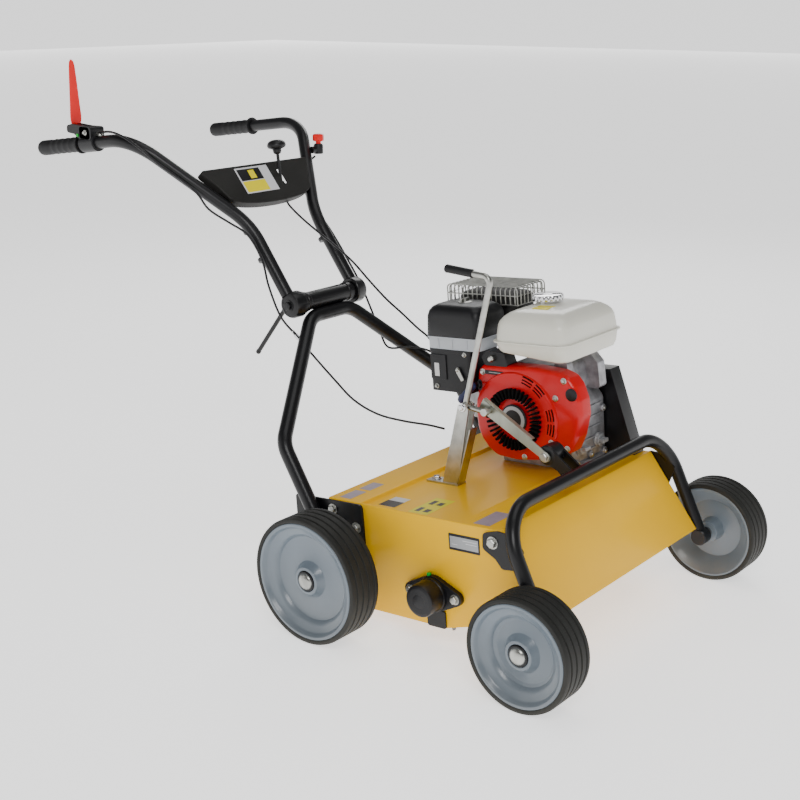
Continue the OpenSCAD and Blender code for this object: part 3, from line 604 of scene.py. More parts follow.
def housing():
    """The folded sheet: one outer skin, bent edges, then its thickness."""
    xs = [-267, 240, 263, 267]
    vs = [TRAY_BACK - 3, -80, -246, TRAY_FRONT + 3]
    verts, faces, index = [], [], {}

    def at(x, v, w):
        key = (x, v, w)
        if key not in index:
            index[key] = len(verts)
            verts.append(DECK @ Vector(key))
        return index[key]

    a, b = -268.5, 268.5
    for row in range(3):
        for col in range(3):
            if (row, col) != (1, 1):
                faces.append([at(xs[c], vs[r], TRAY_W) for r, c in
                              ((row, col), (row, col + 1), (row + 1, col + 1), (row + 1, col))])
    for v, rim_v in ((vs[0], TRAY_BACK), (vs[3], TRAY_FRONT)):
        faces.append([at(x, v, TRAY_W) for x in xs] + [at(b, rim_v, TOP_W), at(a, rim_v, TOP_W)])
    for x, rim_x in ((xs[0], a), (xs[3], b)):
        faces.append([at(x, v, TRAY_W) for v in vs]
                     + [at(rim_x, TRAY_FRONT, TOP_W), at(rim_x, TRAY_BACK, TOP_W)])
    for s, rim_x in ((-1, a), (1, b)):
        edge = s * SIDE_X
        faces.append([at(rim_x, TRAY_BACK, TOP_W), at(rim_x, TRAY_FRONT, TOP_W), at(edge, TRAY_FRONT, TOP_W),
                      at(edge, TRAY_BACK, TOP_W)])
        faces.append([at(edge, BACK_V, TOP_W), at(edge, TRAY_BACK, TOP_W), at(edge, TRAY_FRONT, TOP_W),
                      at(edge, FRONT_V, TOP_W), at(edge, *NOSE), at(edge, -215, -102), at(edge, 22, -102),
                      at(edge, BACK_V, -60), at(edge, BACK_V, -30)])
    e = SIDE_X
    faces.append([at(-e, BACK_V, TOP_W), at(e, BACK_V, TOP_W), at(e, TRAY_BACK, TOP_W), at(b, TRAY_BACK, TOP_W),
                  at(a, TRAY_BACK, TOP_W), at(-e, TRAY_BACK, TOP_W)])
    faces.append([at(-e, FRONT_V, TOP_W), at(e, FRONT_V, TOP_W), at(e, TRAY_FRONT, TOP_W),
                  at(b, TRAY_FRONT, TOP_W), at(a, TRAY_FRONT, TOP_W), at(-e, TRAY_FRONT, TOP_W)])
    faces.append([at(-e, BACK_V, TOP_W), at(e, BACK_V, TOP_W), at(e, BACK_V, -30), at(-e, BACK_V, -30)])
    faces.append([at(-e, FRONT_V, TOP_W), at(e, FRONT_V, TOP_W), at(e, *NOSE), at(-e, *NOSE)])
    mesh = bpy.data.meshes.new("housing")
    mesh.from_pydata(verts, [], faces)
    mesh.materials.append(YELLOW)
    made = bmesh.new()
    made.from_mesh(mesh)
    bmesh.ops.recalc_face_normals(made, faces=made.faces)
    made.faces.ensure_lookup_table()
    if sum(f.normal.z * f.calc_area() for f in made.faces) < 0:
        bmesh.ops.reverse_faces(made, faces=made.faces)
    made.to_mesh(mesh)
    made.free()
    shade_smooth(mesh)
    made = bpy.data.objects.new("housing", mesh)
    bpy.context.scene.collection.objects.link(made)
    round_off(made, 2.2, 4)
    sheet = made.modifiers.new("sheet", "SOLIDIFY")
    sheet.thickness = 0.003
    sheet.offset = -1
    sheet.use_even_offset = True
    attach(made, "chassis")
    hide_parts("deck_top", "side_plate_left", "side_plate_right")


def deck_fittings():
    plates, bolts, bearings, covers = Shape(), Shape(), Shape(), Shape()
    outline = fillet([(-30, 113), (146, 111), (147, 60), (45, -22), (-26, -24), (-30, -18)],
                     [9, 6, 12, 14, 6, 2])
    flange = []
    for s in (-1, 1):
        for k in range(13):
            a = math.radians((-62 if s > 0 else 118) + k * 124 / 12)
            flange.append((ROTOR[0] + s * 52.5 + 14 * math.cos(a), ROTOR[1] + 14 * math.sin(a)))
        for k in range(11):
            a = math.radians((70 if s > 0 else 250) + k * 4)
            flange.append((ROTOR[0] + 36 * math.cos(a), ROTOR[1] + 36 * math.sin(a)))
    for s in (-1, 1):
        plates.prism(outline, s * SIDE_X, s * (SIDE_X + 5))
        axis = (s, 0, 0)
        for v, w in ((46, 94), (-13, 65)):
            bolts.bolt((s * (SIDE_X + 5), v, w), axis)
        bolts.bolt((s * (SIDE_X + 5.3), -339, 92), axis, 9.5, 6, 12)
        bearings.prism(flange, s * SIDE_X, s * (SIDE_X + 10))
        bearings.lathe([(34, 10), (33.5, 16), (32, 18), (32, 46), (30.5, 50), (27, 51.8)],
                       (s * SIDE_X, *ROTOR), axis, 64)
        bearings.ring([(14, 51.2), (25.5, 51.2), (25.5, 52), (14, 52)], (s * SIDE_X, *ROTOR), axis, 48)
        nipple = (s * (SIDE_X + 5), ROTOR[0] + 9, ROTOR[1] + 35)
        bearings.lathe([(4.5, 0), (4.5, 3.5), (3, 5)], nipple, (0, 0, 1), 20, 1)
        for side in (-1, 1):
            bolts.bolt((s * (SIDE_X + 10), ROTOR[0] + side * 52.5, ROTOR[1]), axis, 8, 6, 10)
        strip = fillet([(ROTOR[0] - 22, -103), (ROTOR[0] + 22, -103), (ROTOR[0] + 22, ROTOR[1] - 34),
                        (ROTOR[0] - 22, ROTOR[1] - 34)], [5, 5, 1, 1])
        covers.prism(strip, s * SIDE_X, s * (SIDE_X + 4))
    piece("axle_plates_skin", plates, "chassis", [BLACK], DECK, ["axle_plates"], 0.8)
    piece("bearings_skin", bearings, "chassis", [PLASTIC, GREEN], DECK, ["rotor_bearings"],
          1.2, 3)
    piece("slot_covers_skin", covers, "chassis", [BLACK], DECK, ["slot_covers"], 0.8)
    piece("deck_bolts_skin", bolts, "chassis", [ZINC], DECK, ["deck_bolts"], 0.3)


def labels():
    """Blank plates and plain blocks of colour where the machine carries plates and stickers."""
    made = Shape()
    x = -SIDE_X
    made.prism(fillet([(-306, 60), (-236, 60), (-236, 92), (-306, 92)], 1.5), x - 0.5, x, 1)
    made.prism([(-303, 65), (-239, 65), (-239, 87), (-303, 87)], x - 0.8, x - 0.45, 0)
    for k, (v0, v1) in enumerate(((-300, -268), (-300, -275), (-256, -243))):
        w = 81 - k * 5
        made.prism([(v0, w), (v1, w), (v1, w + 1.2), (v0, w + 1.2)], x - 1.0, x - 0.75, 2)
    piece("rating_plate_skin", made, "chassis", [LABEL_GREY, PLASTIC, LABEL_WHITE], DECK, ["rating_plate"])
    flat = Shape()

    def tag(x0, x1, v0, v1, w, slot):
        flat.box(x0, x1, v0, v1, w + 0.05, w + 0.35, slot)

    tag(-244, -192, -82, -45, TRAY_W, 1)
    tag(-244, -214, -84, -44, TRAY_W + 0.3, 0)
    tag(-250, -160, -168, -122, TRAY_W, 3)
    for k in range(2):
        tag(-238 + k * 42, -222 + k * 42, -160, -148, TRAY_W + 0.3, 0)
        tag(-240 + k * 42, -218 + k * 42, -140, -130, TRAY_W + 0.3, 0)
    tag(-262, -190, -322, -286, TOP_W, 2)
    tag(-262, -214, 12, 40, TOP_W, 2)
    tag(-204, -160, 12, 40, TOP_W, 2)
    piece("deck_stickers", flat, "chassis", [PLASTIC, LABEL_WHITE, LABEL_MAUVE, LABEL_YELLOW], DECK)


# ---- frames ----

ARM_PATH = [(100, 335, 572.5), (100, 440, 712), (257, 625, 893), (257.5, 925, 854.5)]
ARM_BENDS = [150, 120]
ARM_X, HUB_IN, HUB_OUT = 100, 80.5, 112


def handles():
    foot, knee, top = (293, 66, 164), (287, 176, 326), (62, 305, 524)
    lower = Shape().tube(bent(mirrored([foot, knee, top]) + [top, knee, foot], [60] * 4), 15, 32)
    piece("lower_handle_skin", lower, "chassis", [BLACK], replaces=["lower_handle"])
    arms = Shape()
    for path in (ARM_PATH, mirrored(ARM_PATH)):
        arms.tube(bent(path, ARM_BENDS), 13.5, 32)
    clip = Vector((-100, 394, 626))
    along = (Vector((100, 440, 712)) - Vector((100, 335, 572.5))).normalized()
    for centre in (clip, clip + along * 70, Vector((100, 404, 641))):
        arms.lathe([(14.6, -4), (15, -3), (15, 3), (14.6, 4)], centre + Vector((0, 6, 18)), along, 32, 1)
    piece("handle_arms_skin", arms, "upper_handle", [BLACK, PLASTIC], replaces=["handle_arms"])
    tube = Shape().lathe([(19.5, -70), (19.5, 80)], (0, *PIVOT), (1, 0, 0), 48)
    tube.ring([(19.4, -68), (21, -66), (21, -60), (19.4, -58)], (0, *PIVOT), (1, 0, 0), 48)
    tube.ring([(19.4, 60), (21, 62), (21, 76), (19.4, 78)], (0, *PIVOT), (1, 0, 0), 48)
    piece("pivot_tube_skin", tube, "chassis", [BLACK], replaces=["pivot_tube"], bevel=0.8)
    hubs, bolt = Shape(), Shape()
    for s in (-1, 1):
        axis = (s, 0, 0)
        hubs.lathe([(26, HUB_IN), (28, HUB_IN + 2), (28, HUB_OUT - 8), (25.5, HUB_OUT - 3), (20, HUB_OUT - 0.6),
                    (13, HUB_OUT)], (0, *PIVOT), axis, 64)
        bolt.bolt((s * HUB_OUT, *PIVOT), axis, 9.5, 6.0, 13)
    bolt.lathe([(5.9, -HUB_OUT), (5.9, HUB_OUT)], (0, *PIVOT), (1, 0, 0), 32)
    piece("handle_hubs_skin", hubs, "upper_handle", [BLACK], replaces=["handle_hubs"],
          bevel=0.6)
    piece("pivot_bolt_skin", bolt, "chassis", [BLACK], replaces=["pivot_bolt"], bevel=0.4)
    clamp = Shape()
    clamp.lathe([(22, -80.2), (24, -79), (24, -71.6), (22, -70.4)], (0, *PIVOT), (1, 0, 0), 48)
    clamp.tube([(-75.2, 340, 570), (-75.2, 452, 428)], 4.8, 24)
    clamp.lathe([(4.8, 0), (5.6, 1), (5.6, 6), (4.4, 8)], (-75.2, 452, 428), (0, 112, -142), 24)
    piece("clamp_lever_skin", clamp, "clamp_lever", [BLACK], replaces=["clamp_lever"],
          bevel=0.4)


def grips():
    start, end = Vector((257, 625, 893)), Vector((257.5, 925, 854.5))
    d = (end - start).normalized()
    for s, name in ((1, "left"), (-1, "right")):
        tip = Vector((s * end.x, end.y, end.z))
        axis = Vector((s * d.x, d.y, d.z))
        made = Shape()
        profile = [(19.5, -140), (20.5, -139), (20.5, -135.5), (19, -134), (16.6, -133)]
        for k in range(5):
            at = -126 + k * 20
            profile += [(16.5, at - 4), (15.9, at), (15.7, at + 5), (15.9, at + 10), (16.5, at + 14)]
        profile += [(16.5, -14), (16.5, -3), (15.2, 1.5), (12, 3.6), (5, 4)]
        made.lathe(profile, tip, axis, 48)
        piece(f"{name}_grip_skin", made, "upper_handle", [GRIP], replaces=[f"{name}_grip"],
              bevel=0.4, sharp=50)


def front_frame():
    low, top = (290, -459, 99), (290, -354, 311)
    tube = Shape().tube(bent([*mirrored([low, top]), top, low], [85, 85], 20), 13.5, 32)
    piece("front_frame_skin", tube, "front_frame", [BLACK], replaces=["front_frame"])
    lugs = Shape()
    pivot = (-329.7, 246.2)
    tab = fillet([(-307, 259), (-338, 270), (-374, 270), (-396, 244), (-382, 206), (-352, 200), (-336, 216),
                  (-308, 229)], [9, 6, 8, 6, 6, 8, 8, 9])
    for s in (-1, 1):
        lugs.prism(tab, s * (SIDE_X + 1.2), s * (SIDE_X + 5.2))
        lugs.lathe([(14.5, 1.2), (14.5, 5.4)], (s * SIDE_X, *pivot), (s, 0, 0), 40)
    for x in (-52, -22):
        lugs.prism(fillet([(-364, 322), (-346, 324), (-306, 352), (-290, 352), (-281, 340), (-286, 327),
                           (-318, 314), (-334, 299), (-352, 298)], [4, 4, 8, 10, 8, 8, 6, 6, 6]), x, x + 5)
    boss = (-292, 339)
    lugs.lathe([(14, -53.2), (18, -52.4), (20, -49.5), (20, -17), (18, -14), (13, -13)], (0, *boss),
               (1, 0, 0), 56)
    hub = (0, -WHEELBASE, FRONT_R)
    for s in (-1, 1):
        lugs.lathe([(15.5, 276), (17.5, 278), (17.5, 302), (14, 307)], hub, (s, 0, 0), 40)
    lugs.lathe([(5, -62), (5, -46)], (0, *boss), (1, 0, 0), 24, 1)
    lugs.lathe([(11, -60), (11, -58.8)], (0, *boss), (1, 0, 0), 32, 1)
    lugs.bolt((-60, *boss), (-1, 0, 0), 8.5, 5, 0, 1)
    lugs.bolt((-10.5, *boss), (1, 0, 0), 8.5, 5, 0, 1)
    piece("frame_lugs_skin", lugs, "front_frame", [BLACK, ZINC], replaces=["frame_lugs"],
          bevel=0.7)


# ---- depth lever ----

LEVER_X, LINK_X = -70.0, -56.0
LEVER_PIN, CRANK_PIN, BOSS_PIN = (-113.0, 408.0), (-160.0, 405.0), (-292.0, 339.0)


def to_deck(y, z):
    c, s = math.cos(STANCE), math.sin(STANCE)
    return y * c - (z - REAR_R) * s, y * s + (z - REAR_R) * c


def depth_gear():
    bracket = Shape()
    pv, pw = to_deck(*LEVER_PIN)
    cheek = fillet([(-76, 110), (-115, 110), (pv - 14, pw - 6), (pv - 8, pw + 9), (pv + 9, pw + 6)],
                   [1, 1, 6, 7, 7])
    for x in (LEVER_X - 12, LEVER_X + 9):
        bracket.prism(cheek, x, x + 3)
    bracket.prism([(-112, 110), (-115, 110), (pv - 17, pw - 44), (pv - 14, pw - 44)], LEVER_X - 12,
                  LEVER_X + 12)
    bracket.prism(fillet([(-116, TRAY_W), (-36, TRAY_W), (-36, 111), (-116, 111)], 0.8), LEVER_X - 14,
                  LEVER_X + 14)
    for v in (-52, -98):
        bracket.bolt((LEVER_X, v, 111), (0, 0, 1), 7.5, 5, 10, 1)
    bracket.bolt((LEVER_X - 12, pv, pw), (-1, 0, 0), 6.5, 3.5, 9, 1)
    piece("lever_bracket_skin", bracket, "chassis", [ZINC, CHROME], DECK, ["lever_bracket"], 0.5)
    lever = Shape()
    path = bent([(LEVER_X, *LEVER_PIN), (LEVER_X, -145, 560), (LEVER_X, -169, 672), (LEVER_X, -65, 676)],
                [400, 14], 16)
    lever.tube(path, 6, 28)
    lever.lathe([(8.5, -8), (8.5, 8)], (LEVER_X, *LEVER_PIN), (1, 0, 0), 32)
    lever.tube([(LEVER_X, *LEVER_PIN), (LEVER_X, *CRANK_PIN)], 5.5, 24)
    lever.lathe([(7.5, -6), (8, -5), (8, 5), (7.5, 6)], (LEVER_X, *CRANK_PIN), (1, 0, 0), 32)
    lever.lathe([(5, 0), (5, 22)], (LEVER_X, *CRANK_PIN), (1, 0, 0), 24)
    piece("depth_lever_skin", lever, "depth_lever", [ZINC], replaces=["depth_lever"], bevel=0.4)
    sleeve = Shape()
    sleeve.lathe([(6.4, -1), (8.2, 0), (8.5, 2), (8.1, 5), (8.1, 58), (8.5, 61), (7, 63.4), (2, 64)],
                 (LEVER_X, -126, 673.6), (0, 64, 2.5), 32)
    piece("depth_lever_grip_skin", sleeve, "depth_lever", [GRIP], replaces=["depth_lever_grip"],
          bevel=0.4)
    link_bar()


def link_bar():
    """The pressed channel between the lever and the front frame, with its oversize front hole."""
    made = Shape()
    a, b = Vector(CRANK_PIN), Vector(BOSS_PIN)
    d = (b - a).normalized()
    n = Vector((-d.y, d.x))
    back = a - d * 22
    front = b + d * 12
    outline = fillet([tuple(back + n * 13), tuple(front + n * 8), tuple(front - n * 8), tuple(back - n * 13)],
                     [5, 8, 8, 5])
    made.prism(outline, LINK_X - 1.5, LINK_X + 1.5)
    low = b - d * 40
    made.prism([tuple(back - n * 13), tuple(back - n * 10.5), tuple(low - n * 10), tuple(low - n * 12)],
               LINK_X - 1.5, LINK_X + 9)
    plate = piece("depth_link_skin", made, "depth_link", [ZINC_GREEN], replaces=["depth_link"])
    holes = Shape()
    holes.lathe([(5.1, -10), (5.1, 10)], (LINK_X, *CRANK_PIN), (1, 0, 0), 32)
    holes.lathe([(7, -10), (7, 10)], (LINK_X, *BOSS_PIN), (1, 0, 0), 32)
    # The walls of both holes get near-black painted shade from cut().
    cut(plate, holes, STAND)
    round_off(plate, 0.4, 2)


# ---- controls on the handle ----

CONSOLE_FRAME = STAND @ Matrix.Translation((0, 520, 826)) @ Matrix.Rotation(math.radians(50), 4, "X")


def console_outline(inset, steps=24):
    out = [(-164 + inset, -inset), (164 - inset, -inset), (137 - inset, -46), (124 - inset, -76)]
    for k in range(1, steps):
        a = math.pi * k / steps
        out.append(((120 - inset) * math.cos(a), -76 - (23 - inset) * math.sin(a)))
    return out + [(-124 + inset, -76), (-137 + inset, -46)]


def console():
    """A moulded tray: panel and skirt, with a bowed edge."""
    rounded = [fillet(console_outline(i), 6, 3) for i in (0, 3.2)]
    outer = [[(x, y, z) for x, y in rounded[0]] for z in (-20, -1.5)]
    top = [(x, y, 0) for x, y in fillet(console_outline(1.4), 5, 3)]
    inner = [[(x, y, z) for x, y in rounded[1]] for z in (-3, -20)]
    n = len(outer[0])
    made = Shape()
    rings = [outer[0], outer[1], top]
    verts = [p for ring in rings + inner[::-1] for p in ring]
    faces = [[i * n + k, i * n + (k + 1) % n, (i + 1) * n + (k + 1) % n, (i + 1) * n + k]
             for i in (0, 1) for k in range(n)]
    faces.append(list(range(2 * n, 3 * n)))
    faces += [[3 * n + k, 3 * n + (k + 1) % n, 4 * n + (k + 1) % n, 4 * n + k] for k in range(n)]
    faces.append(list(range(4 * n, 5 * n)))
    faces += [[k, (k + 1) % n, 3 * n + (k + 1) % n, 3 * n + k] for k in range(n)]
    made.add(verts, faces)
    panel = piece("console_skin", made, "upper_handle", [CONSOLE, PAINTED_SHADE], CONSOLE_FRAME, ["console"])
    slot_line = fillet([(50, -60), (60, -60), (60, -21), (50, -21)], 4.5)
    slot = Shape().add([(x, y, z) for z in (-12, 8) for x, y in slot_line], prism_faces(len(slot_line)))
    # The walls of the throttle slot get near-black painted shade from cut().
    cut(panel, slot, CONSOLE_FRAME)
    round_off(panel, 0.7, 2)
    sticker = Shape()
    for x0, x1, y0, y1, z, kind in ((-70, 27, -72, -7, 0.3, 0), (-66, 0, -40, -11, 0.6, 1),
                                    (-66, 0, -69, -42, 0.6, 2), (-36, -18, -36, -15, 0.8, 2)):
        sticker.box(x0, x1, y0, y1, z - 0.35, z, kind)
    piece("console_sticker", sticker, "upper_handle", [LABEL_WHITE, PLASTIC, LABEL_YELLOW], CONSOLE_FRAME)


def prism_faces(n):
    """The faces of a prism whose two ends are loops of n points."""
    return [list(range(n))[::-1], list(range(n, 2 * n)),
            *[[i, (i + 1) % n, n + (i + 1) % n, n + i] for i in range(n)]]


def controls():
    throttle = Shape()
    low, top = Vector((55, 496, 777)), Vector((55, 508, 861))
    u = (top - low).normalized()
    throttle.tube([low, top - u * 4], 3.5, 20)
    throttle.lathe([(6, -5), (6, 5)], (55, 496, 777), (1, 0, 0), 28)
    throttle.lathe([(6, -19), (8, -17), (9.5, -13), (9.5, -9), (13, -7.5), (19, -5), (21, -1), (20.6, 3),
                    (18.5, 7), (14.5, 10), (9, 11.8), (2, 12.4)], top, u, 48)
    piece("throttle_lever_skin", throttle, "throttle_lever", [PLASTIC], replaces=["throttle_lever"],
          sharp=50)
    clutch_handle()
    switch = Shape()
    c = Vector((232, 546, 826))
    switch.lathe([(10, -2), (11, -1), (11, 17), (9.5, 20.5), (7.2, 21.5)], c, (0, 0, 1), 40)
    switch.lathe([(8, -22), (8, -2)], c + Vector((0, 2, 8)), (1, 0, 0), 32)
    piece("switch_body_skin", switch, "upper_handle", [PLASTIC], replaces=["switch_body"],
          bevel=0.4)
    button = Shape()
    button.lathe([(6, 12.6), (6, 27)], c, (0, 0, 1), 32)
    button.lathe([(9.6, 26.5), (12.6, 27.8), (13.2, 29.6), (13.2, 39), (12.4, 42), (10, 43.4)], c, (0, 0, 1), 8)
    piece("stop_button_skin", button, "stop_button", [LEVER_RED], replaces=["stop_button"],
          bevel=0.8, segments=3)


def clutch_handle():
    """The clamp on the bar and the long red blade."""
    d = (Vector((-257.5, 925, 854.5)) - Vector((-257, 625, 893))).normalized()
    end = Vector((-257.5, 925, 854.5))
    clamp = Shape()
    clamp.lathe([(17, -196), (19, -195), (19, -149), (17, -148)], end, d, 40)
    cheek = fillet([(736, 886), (775, 886), (790, 895), (814, 897), (814, 912), (797, 916), (738, 912)],
                   [6, 4, 4, 6, 6, 8, 10])
    for x0, x1 in ((-275, -265), (-249, -255)):
        clamp.prism(cheek, x0, x1)
    clamp.prism(fillet([(733, 886), (772, 886), (772, 912), (733, 912)], 6), -275, -239)
    clamp.screw((-275, 752, 900), (-1, 0, 0), 4, 1)
    clamp.lathe([(3.5, 0), (3.5, 2)], (-275, 778, 893), (-1, 0, 0), 20, 2)
    clamp.lathe([(5, 0), (5, 14), (3.2, 16), (3.2, 22)], (-257, 735, 897), (0, -1, -0.15), 24, 1)
    piece("lever_clamp_skin", clamp, "upper_handle", [PLASTIC, ZINC, GREEN], replaces=["lever_clamp"],
          bevel=0.8)
    lever = Shape()
    half = [(7, -8), (13.4, 12), (14, 22), (12, 50), (9, 100), (7, 126), (5, 136), (0, 141)]
    blade = half + [(-x, z) for x, z in half[-2::-1]]
    n = len(blade)
    front = [(-257 + x, 804 - 0.22 * abs(x), 909 + z) for x, z in blade]
    back = [(-257 + x, 808 - 0.22 * abs(x), 909 + z) for x, z in blade]
    lever.add(front + back, prism_faces(n))
    lever.lathe([(7.5, -7.5), (7.5, 7.5)], (-257, 803, 905), (1, 0, 0), 32)
    lever.lathe([(4, -17.8), (4, 17.8)], (-257, 803, 905), (1, 0, 0), 24, 1)
    piece("clutch_lever_skin", lever, "clutch_lever", [LEVER_RED, ZINC], replaces=["clutch_lever"],
          bevel=1.2, segments=3)


# ---- engine: millimetres from the crankshaft's centre, in the tilted frame ----

COVER_LINE = [(92, 98), (81, 108), (-44, 112), (-104, 107), (-127, 99), (-141, 82), (-151, 53), (-153, 22),
              (-142, -21), (-126, -55), (-95, -70), (-51, -80), (0, -86), (50, -82), (72, -68), (88, -48),
              (97, -27), (99, -6), (99, 38), (97, 60)]
RING = Vector((-2, 5))


def edge_distance(outline, angle):
    """How far the outline lies from the centre in one direction."""
    d = Vector((math.cos(angle), math.sin(angle)))
    best = 1e9
    for i, p in enumerate(outline):
        a, b = Vector(p), Vector(outline[(i + 1) % len(outline)])
        e = b - a
        cross = d.x * e.y - d.y * e.x
        if abs(cross) > 1e-9:
            t = (a.x * e.y - a.y * e.x) / cross
            s = (a.x * d.y - a.y * d.x) / cross
            if t > 0 and -1e-6 <= s <= 1 + 1e-6:
                best = min(best, t)
    return best


def disc_in(outline, radius, margin, steps=120):
    """A circle that keeps a margin inside the outline."""
    out = []
    for k in range(steps):
        a = 2 * math.pi * k / steps
        r = min(radius, edge_distance(outline, a) - margin)
        out.append((r * math.cos(a), r * math.sin(a)))
    return out


def fan_cover():
    """The pressed shell with its raised disc, air slots, screws and plug."""
    line = fillet(COVER_LINE, [12, 10] + [22] * 18, 4)
    made = Shape()
    loops = []
    for inset, x in ((0, 95.6), (0, 70), (1.5, 64), (4.5, 59.5), (9, 57)):
        loop = []
        for y, z in line:
            k = max(0.0, 1 - inset / math.hypot(y, z))
            loop.append((x, y * k, z * k))
        loops.append(loop)
    made.loft(loops)
    raised = []
    for x, radius, margin in ((60, 101, 2), (54, 100, 3.5), (51.5, 98, 6), (50.5, 94, 10)):
        raised.append([(x, y, z) for y, z in disc_in(line, radius, margin)])
    made.loft(raised)
    made.lathe([(72.5, 0), (70.5, 2.6), (68, 5), (65.5, 6.2), (33, 6.8), (31.8, 6)], (50.6, *RING),
               (-1, 0, 0), 96)
    skin = piece("fan_cover_skin", made, "chassis", [RED, PAINTED_SHADE], ENGINE, ["fan_cover"], sharp=40)
    slots = Shape()
    for k in range(38):
        a = 2 * math.pi * k / 38
        radial, across = Vector((math.cos(a), math.sin(a))), Vector((-math.sin(a), math.cos(a)))
        corners = [RING + radial * r + across * s for r, s in ((43, -1.5), (64, -2.4), (64, 2.4), (43, 1.5))]
        slots.prism([tuple(c) for c in corners], 38, 49)
    for start, sweep in ((104, 17), (125, 17), (162, 16), (182, 16)):
        for r in (79, 85.5, 92):
            steps = [math.radians(start + sweep * i / 8) for i in range(9)]
            arc = [((r + 1.5) * math.cos(a), (r + 1.5) * math.sin(a)) for a in steps]
            arc += [((r - 1.5) * math.cos(a), (r - 1.5) * math.sin(a)) for a in steps[::-1]]
            slots.prism([(RING.x + y, RING.y + z) for y, z in arc], 40, 53.5)
    # The walls of the air slots get near-black painted shade from cut().
    cut(skin, slots, ENGINE)
    fittings = Shape()
    fittings.lathe([(31, 0), (31, 2), (29.5, 3), (21, 4), (6, 4.4)], (46, *RING), (-1, 0, 0), 64, 1)
    fittings.ring([(20, 3.6), (27.5, 3.2), (27.5, 4), (20, 4.6)], (46, *RING), (-1, 0, 0), 64, 2)
    for y, z, x in ((-96, 55, 57.5), (-117, 92, 57.5), (-119, -46, 57.5), (-20, -74, 51), (78, 94, 57.5),
                    (-86, -36, 51)):
        fittings.screw((x, y, z), (-1, 0, 0), 4.6, 0)
    fittings.lathe([(13, 0), (13, 1.8), (11, 2.8)], (57.2, -134, 66), (-1, 0, 0), 40, 1)
    fittings.prism(fillet([(26, 90), (72, 90.5), (72, 99), (26, 98)], 2.5), 55.8, 58, 1)
    fittings.prism([(32, 93.6), (62, 94), (62, 95.6), (32, 95.2)], 55.5, 56, 2)
    piece("fan_cover_fittings", fittings, "chassis", [ZINC, PLASTIC, LABEL_GREY], ENGINE,
          bevel=0.3)


def tank():
    """Two pressed halves with a seam flange between them."""
    x0, x1, v0, v1 = 28, 257, -310, -126
    sections = []
    seam = 379
    for w, inset, r in ((348, 30, 14), (349.4, 20, 20), (353, 12, 24), (360, 8, 26), (372, 6, 27),
                        (378.4, 5.5, 27), (seam, 0.3, 30), (381.4, 0.3, 30), (382, 6, 27), (392, 6.5, 27),
                        (412, 9, 27), (420, 12, 26), (428, 19, 24), (434.5, 28, 22), (438.6, 38, 20),
                        (441, 52, 16), (442.6, 70, 8)):
        loop = rounded_loop(x0 + inset, x1 - inset, v0 + inset, v1 - inset, r, w)
        if w < seam:
            loop = [(x, v, seam - (seam - w) * (1 - 0.0032 * (v + 218))) for x, v, _ in loop]
        sections.append(loop)
    made = Shape().loft(sections)
    made.lathe([(24, 437), (24, 443), (17, 444), (17, 450)], (150, -194, 0), (0, 0, 1), 48)
    made.box(84, 116, -236, -200, 440.5, 442.9, 1)
    piece("fuel_tank_skin", made, "chassis", [CREAM, LABEL_YELLOW], DECK, ["fuel_tank"], sharp=30)
    cap = Shape()
    sides = 120
    flutes = [[], [], [], [], []]
    for k in range(sides):
        a = 2 * math.pi * k / sides
        wave = 0.9 * math.cos(a * 20)
        profile = ((31, 447.5), (32 + wave, 448.6), (32 + wave, 456), (30.5, 459.6), (26, 461))
        for ring, (r, w) in enumerate(profile):
            flutes[ring].append((150 + r * math.cos(a), -194 + r * math.sin(a), w))
    cap.loft(flutes)
    cap.lathe([(24, 460.8), (22, 459.6), (14, 459.6), (11, 461.2), (4, 461.3)], (150, -194, 0), (0, 0, 1), 48)
    cap.lathe([(21, 443.4), (21, 448)], (150, -194, 0), (0, 0, 1), 48)
    piece("fuel_cap_skin", cap, "fuel_cap", [CHROME], DECK, ["fuel_cap"], sharp=40)


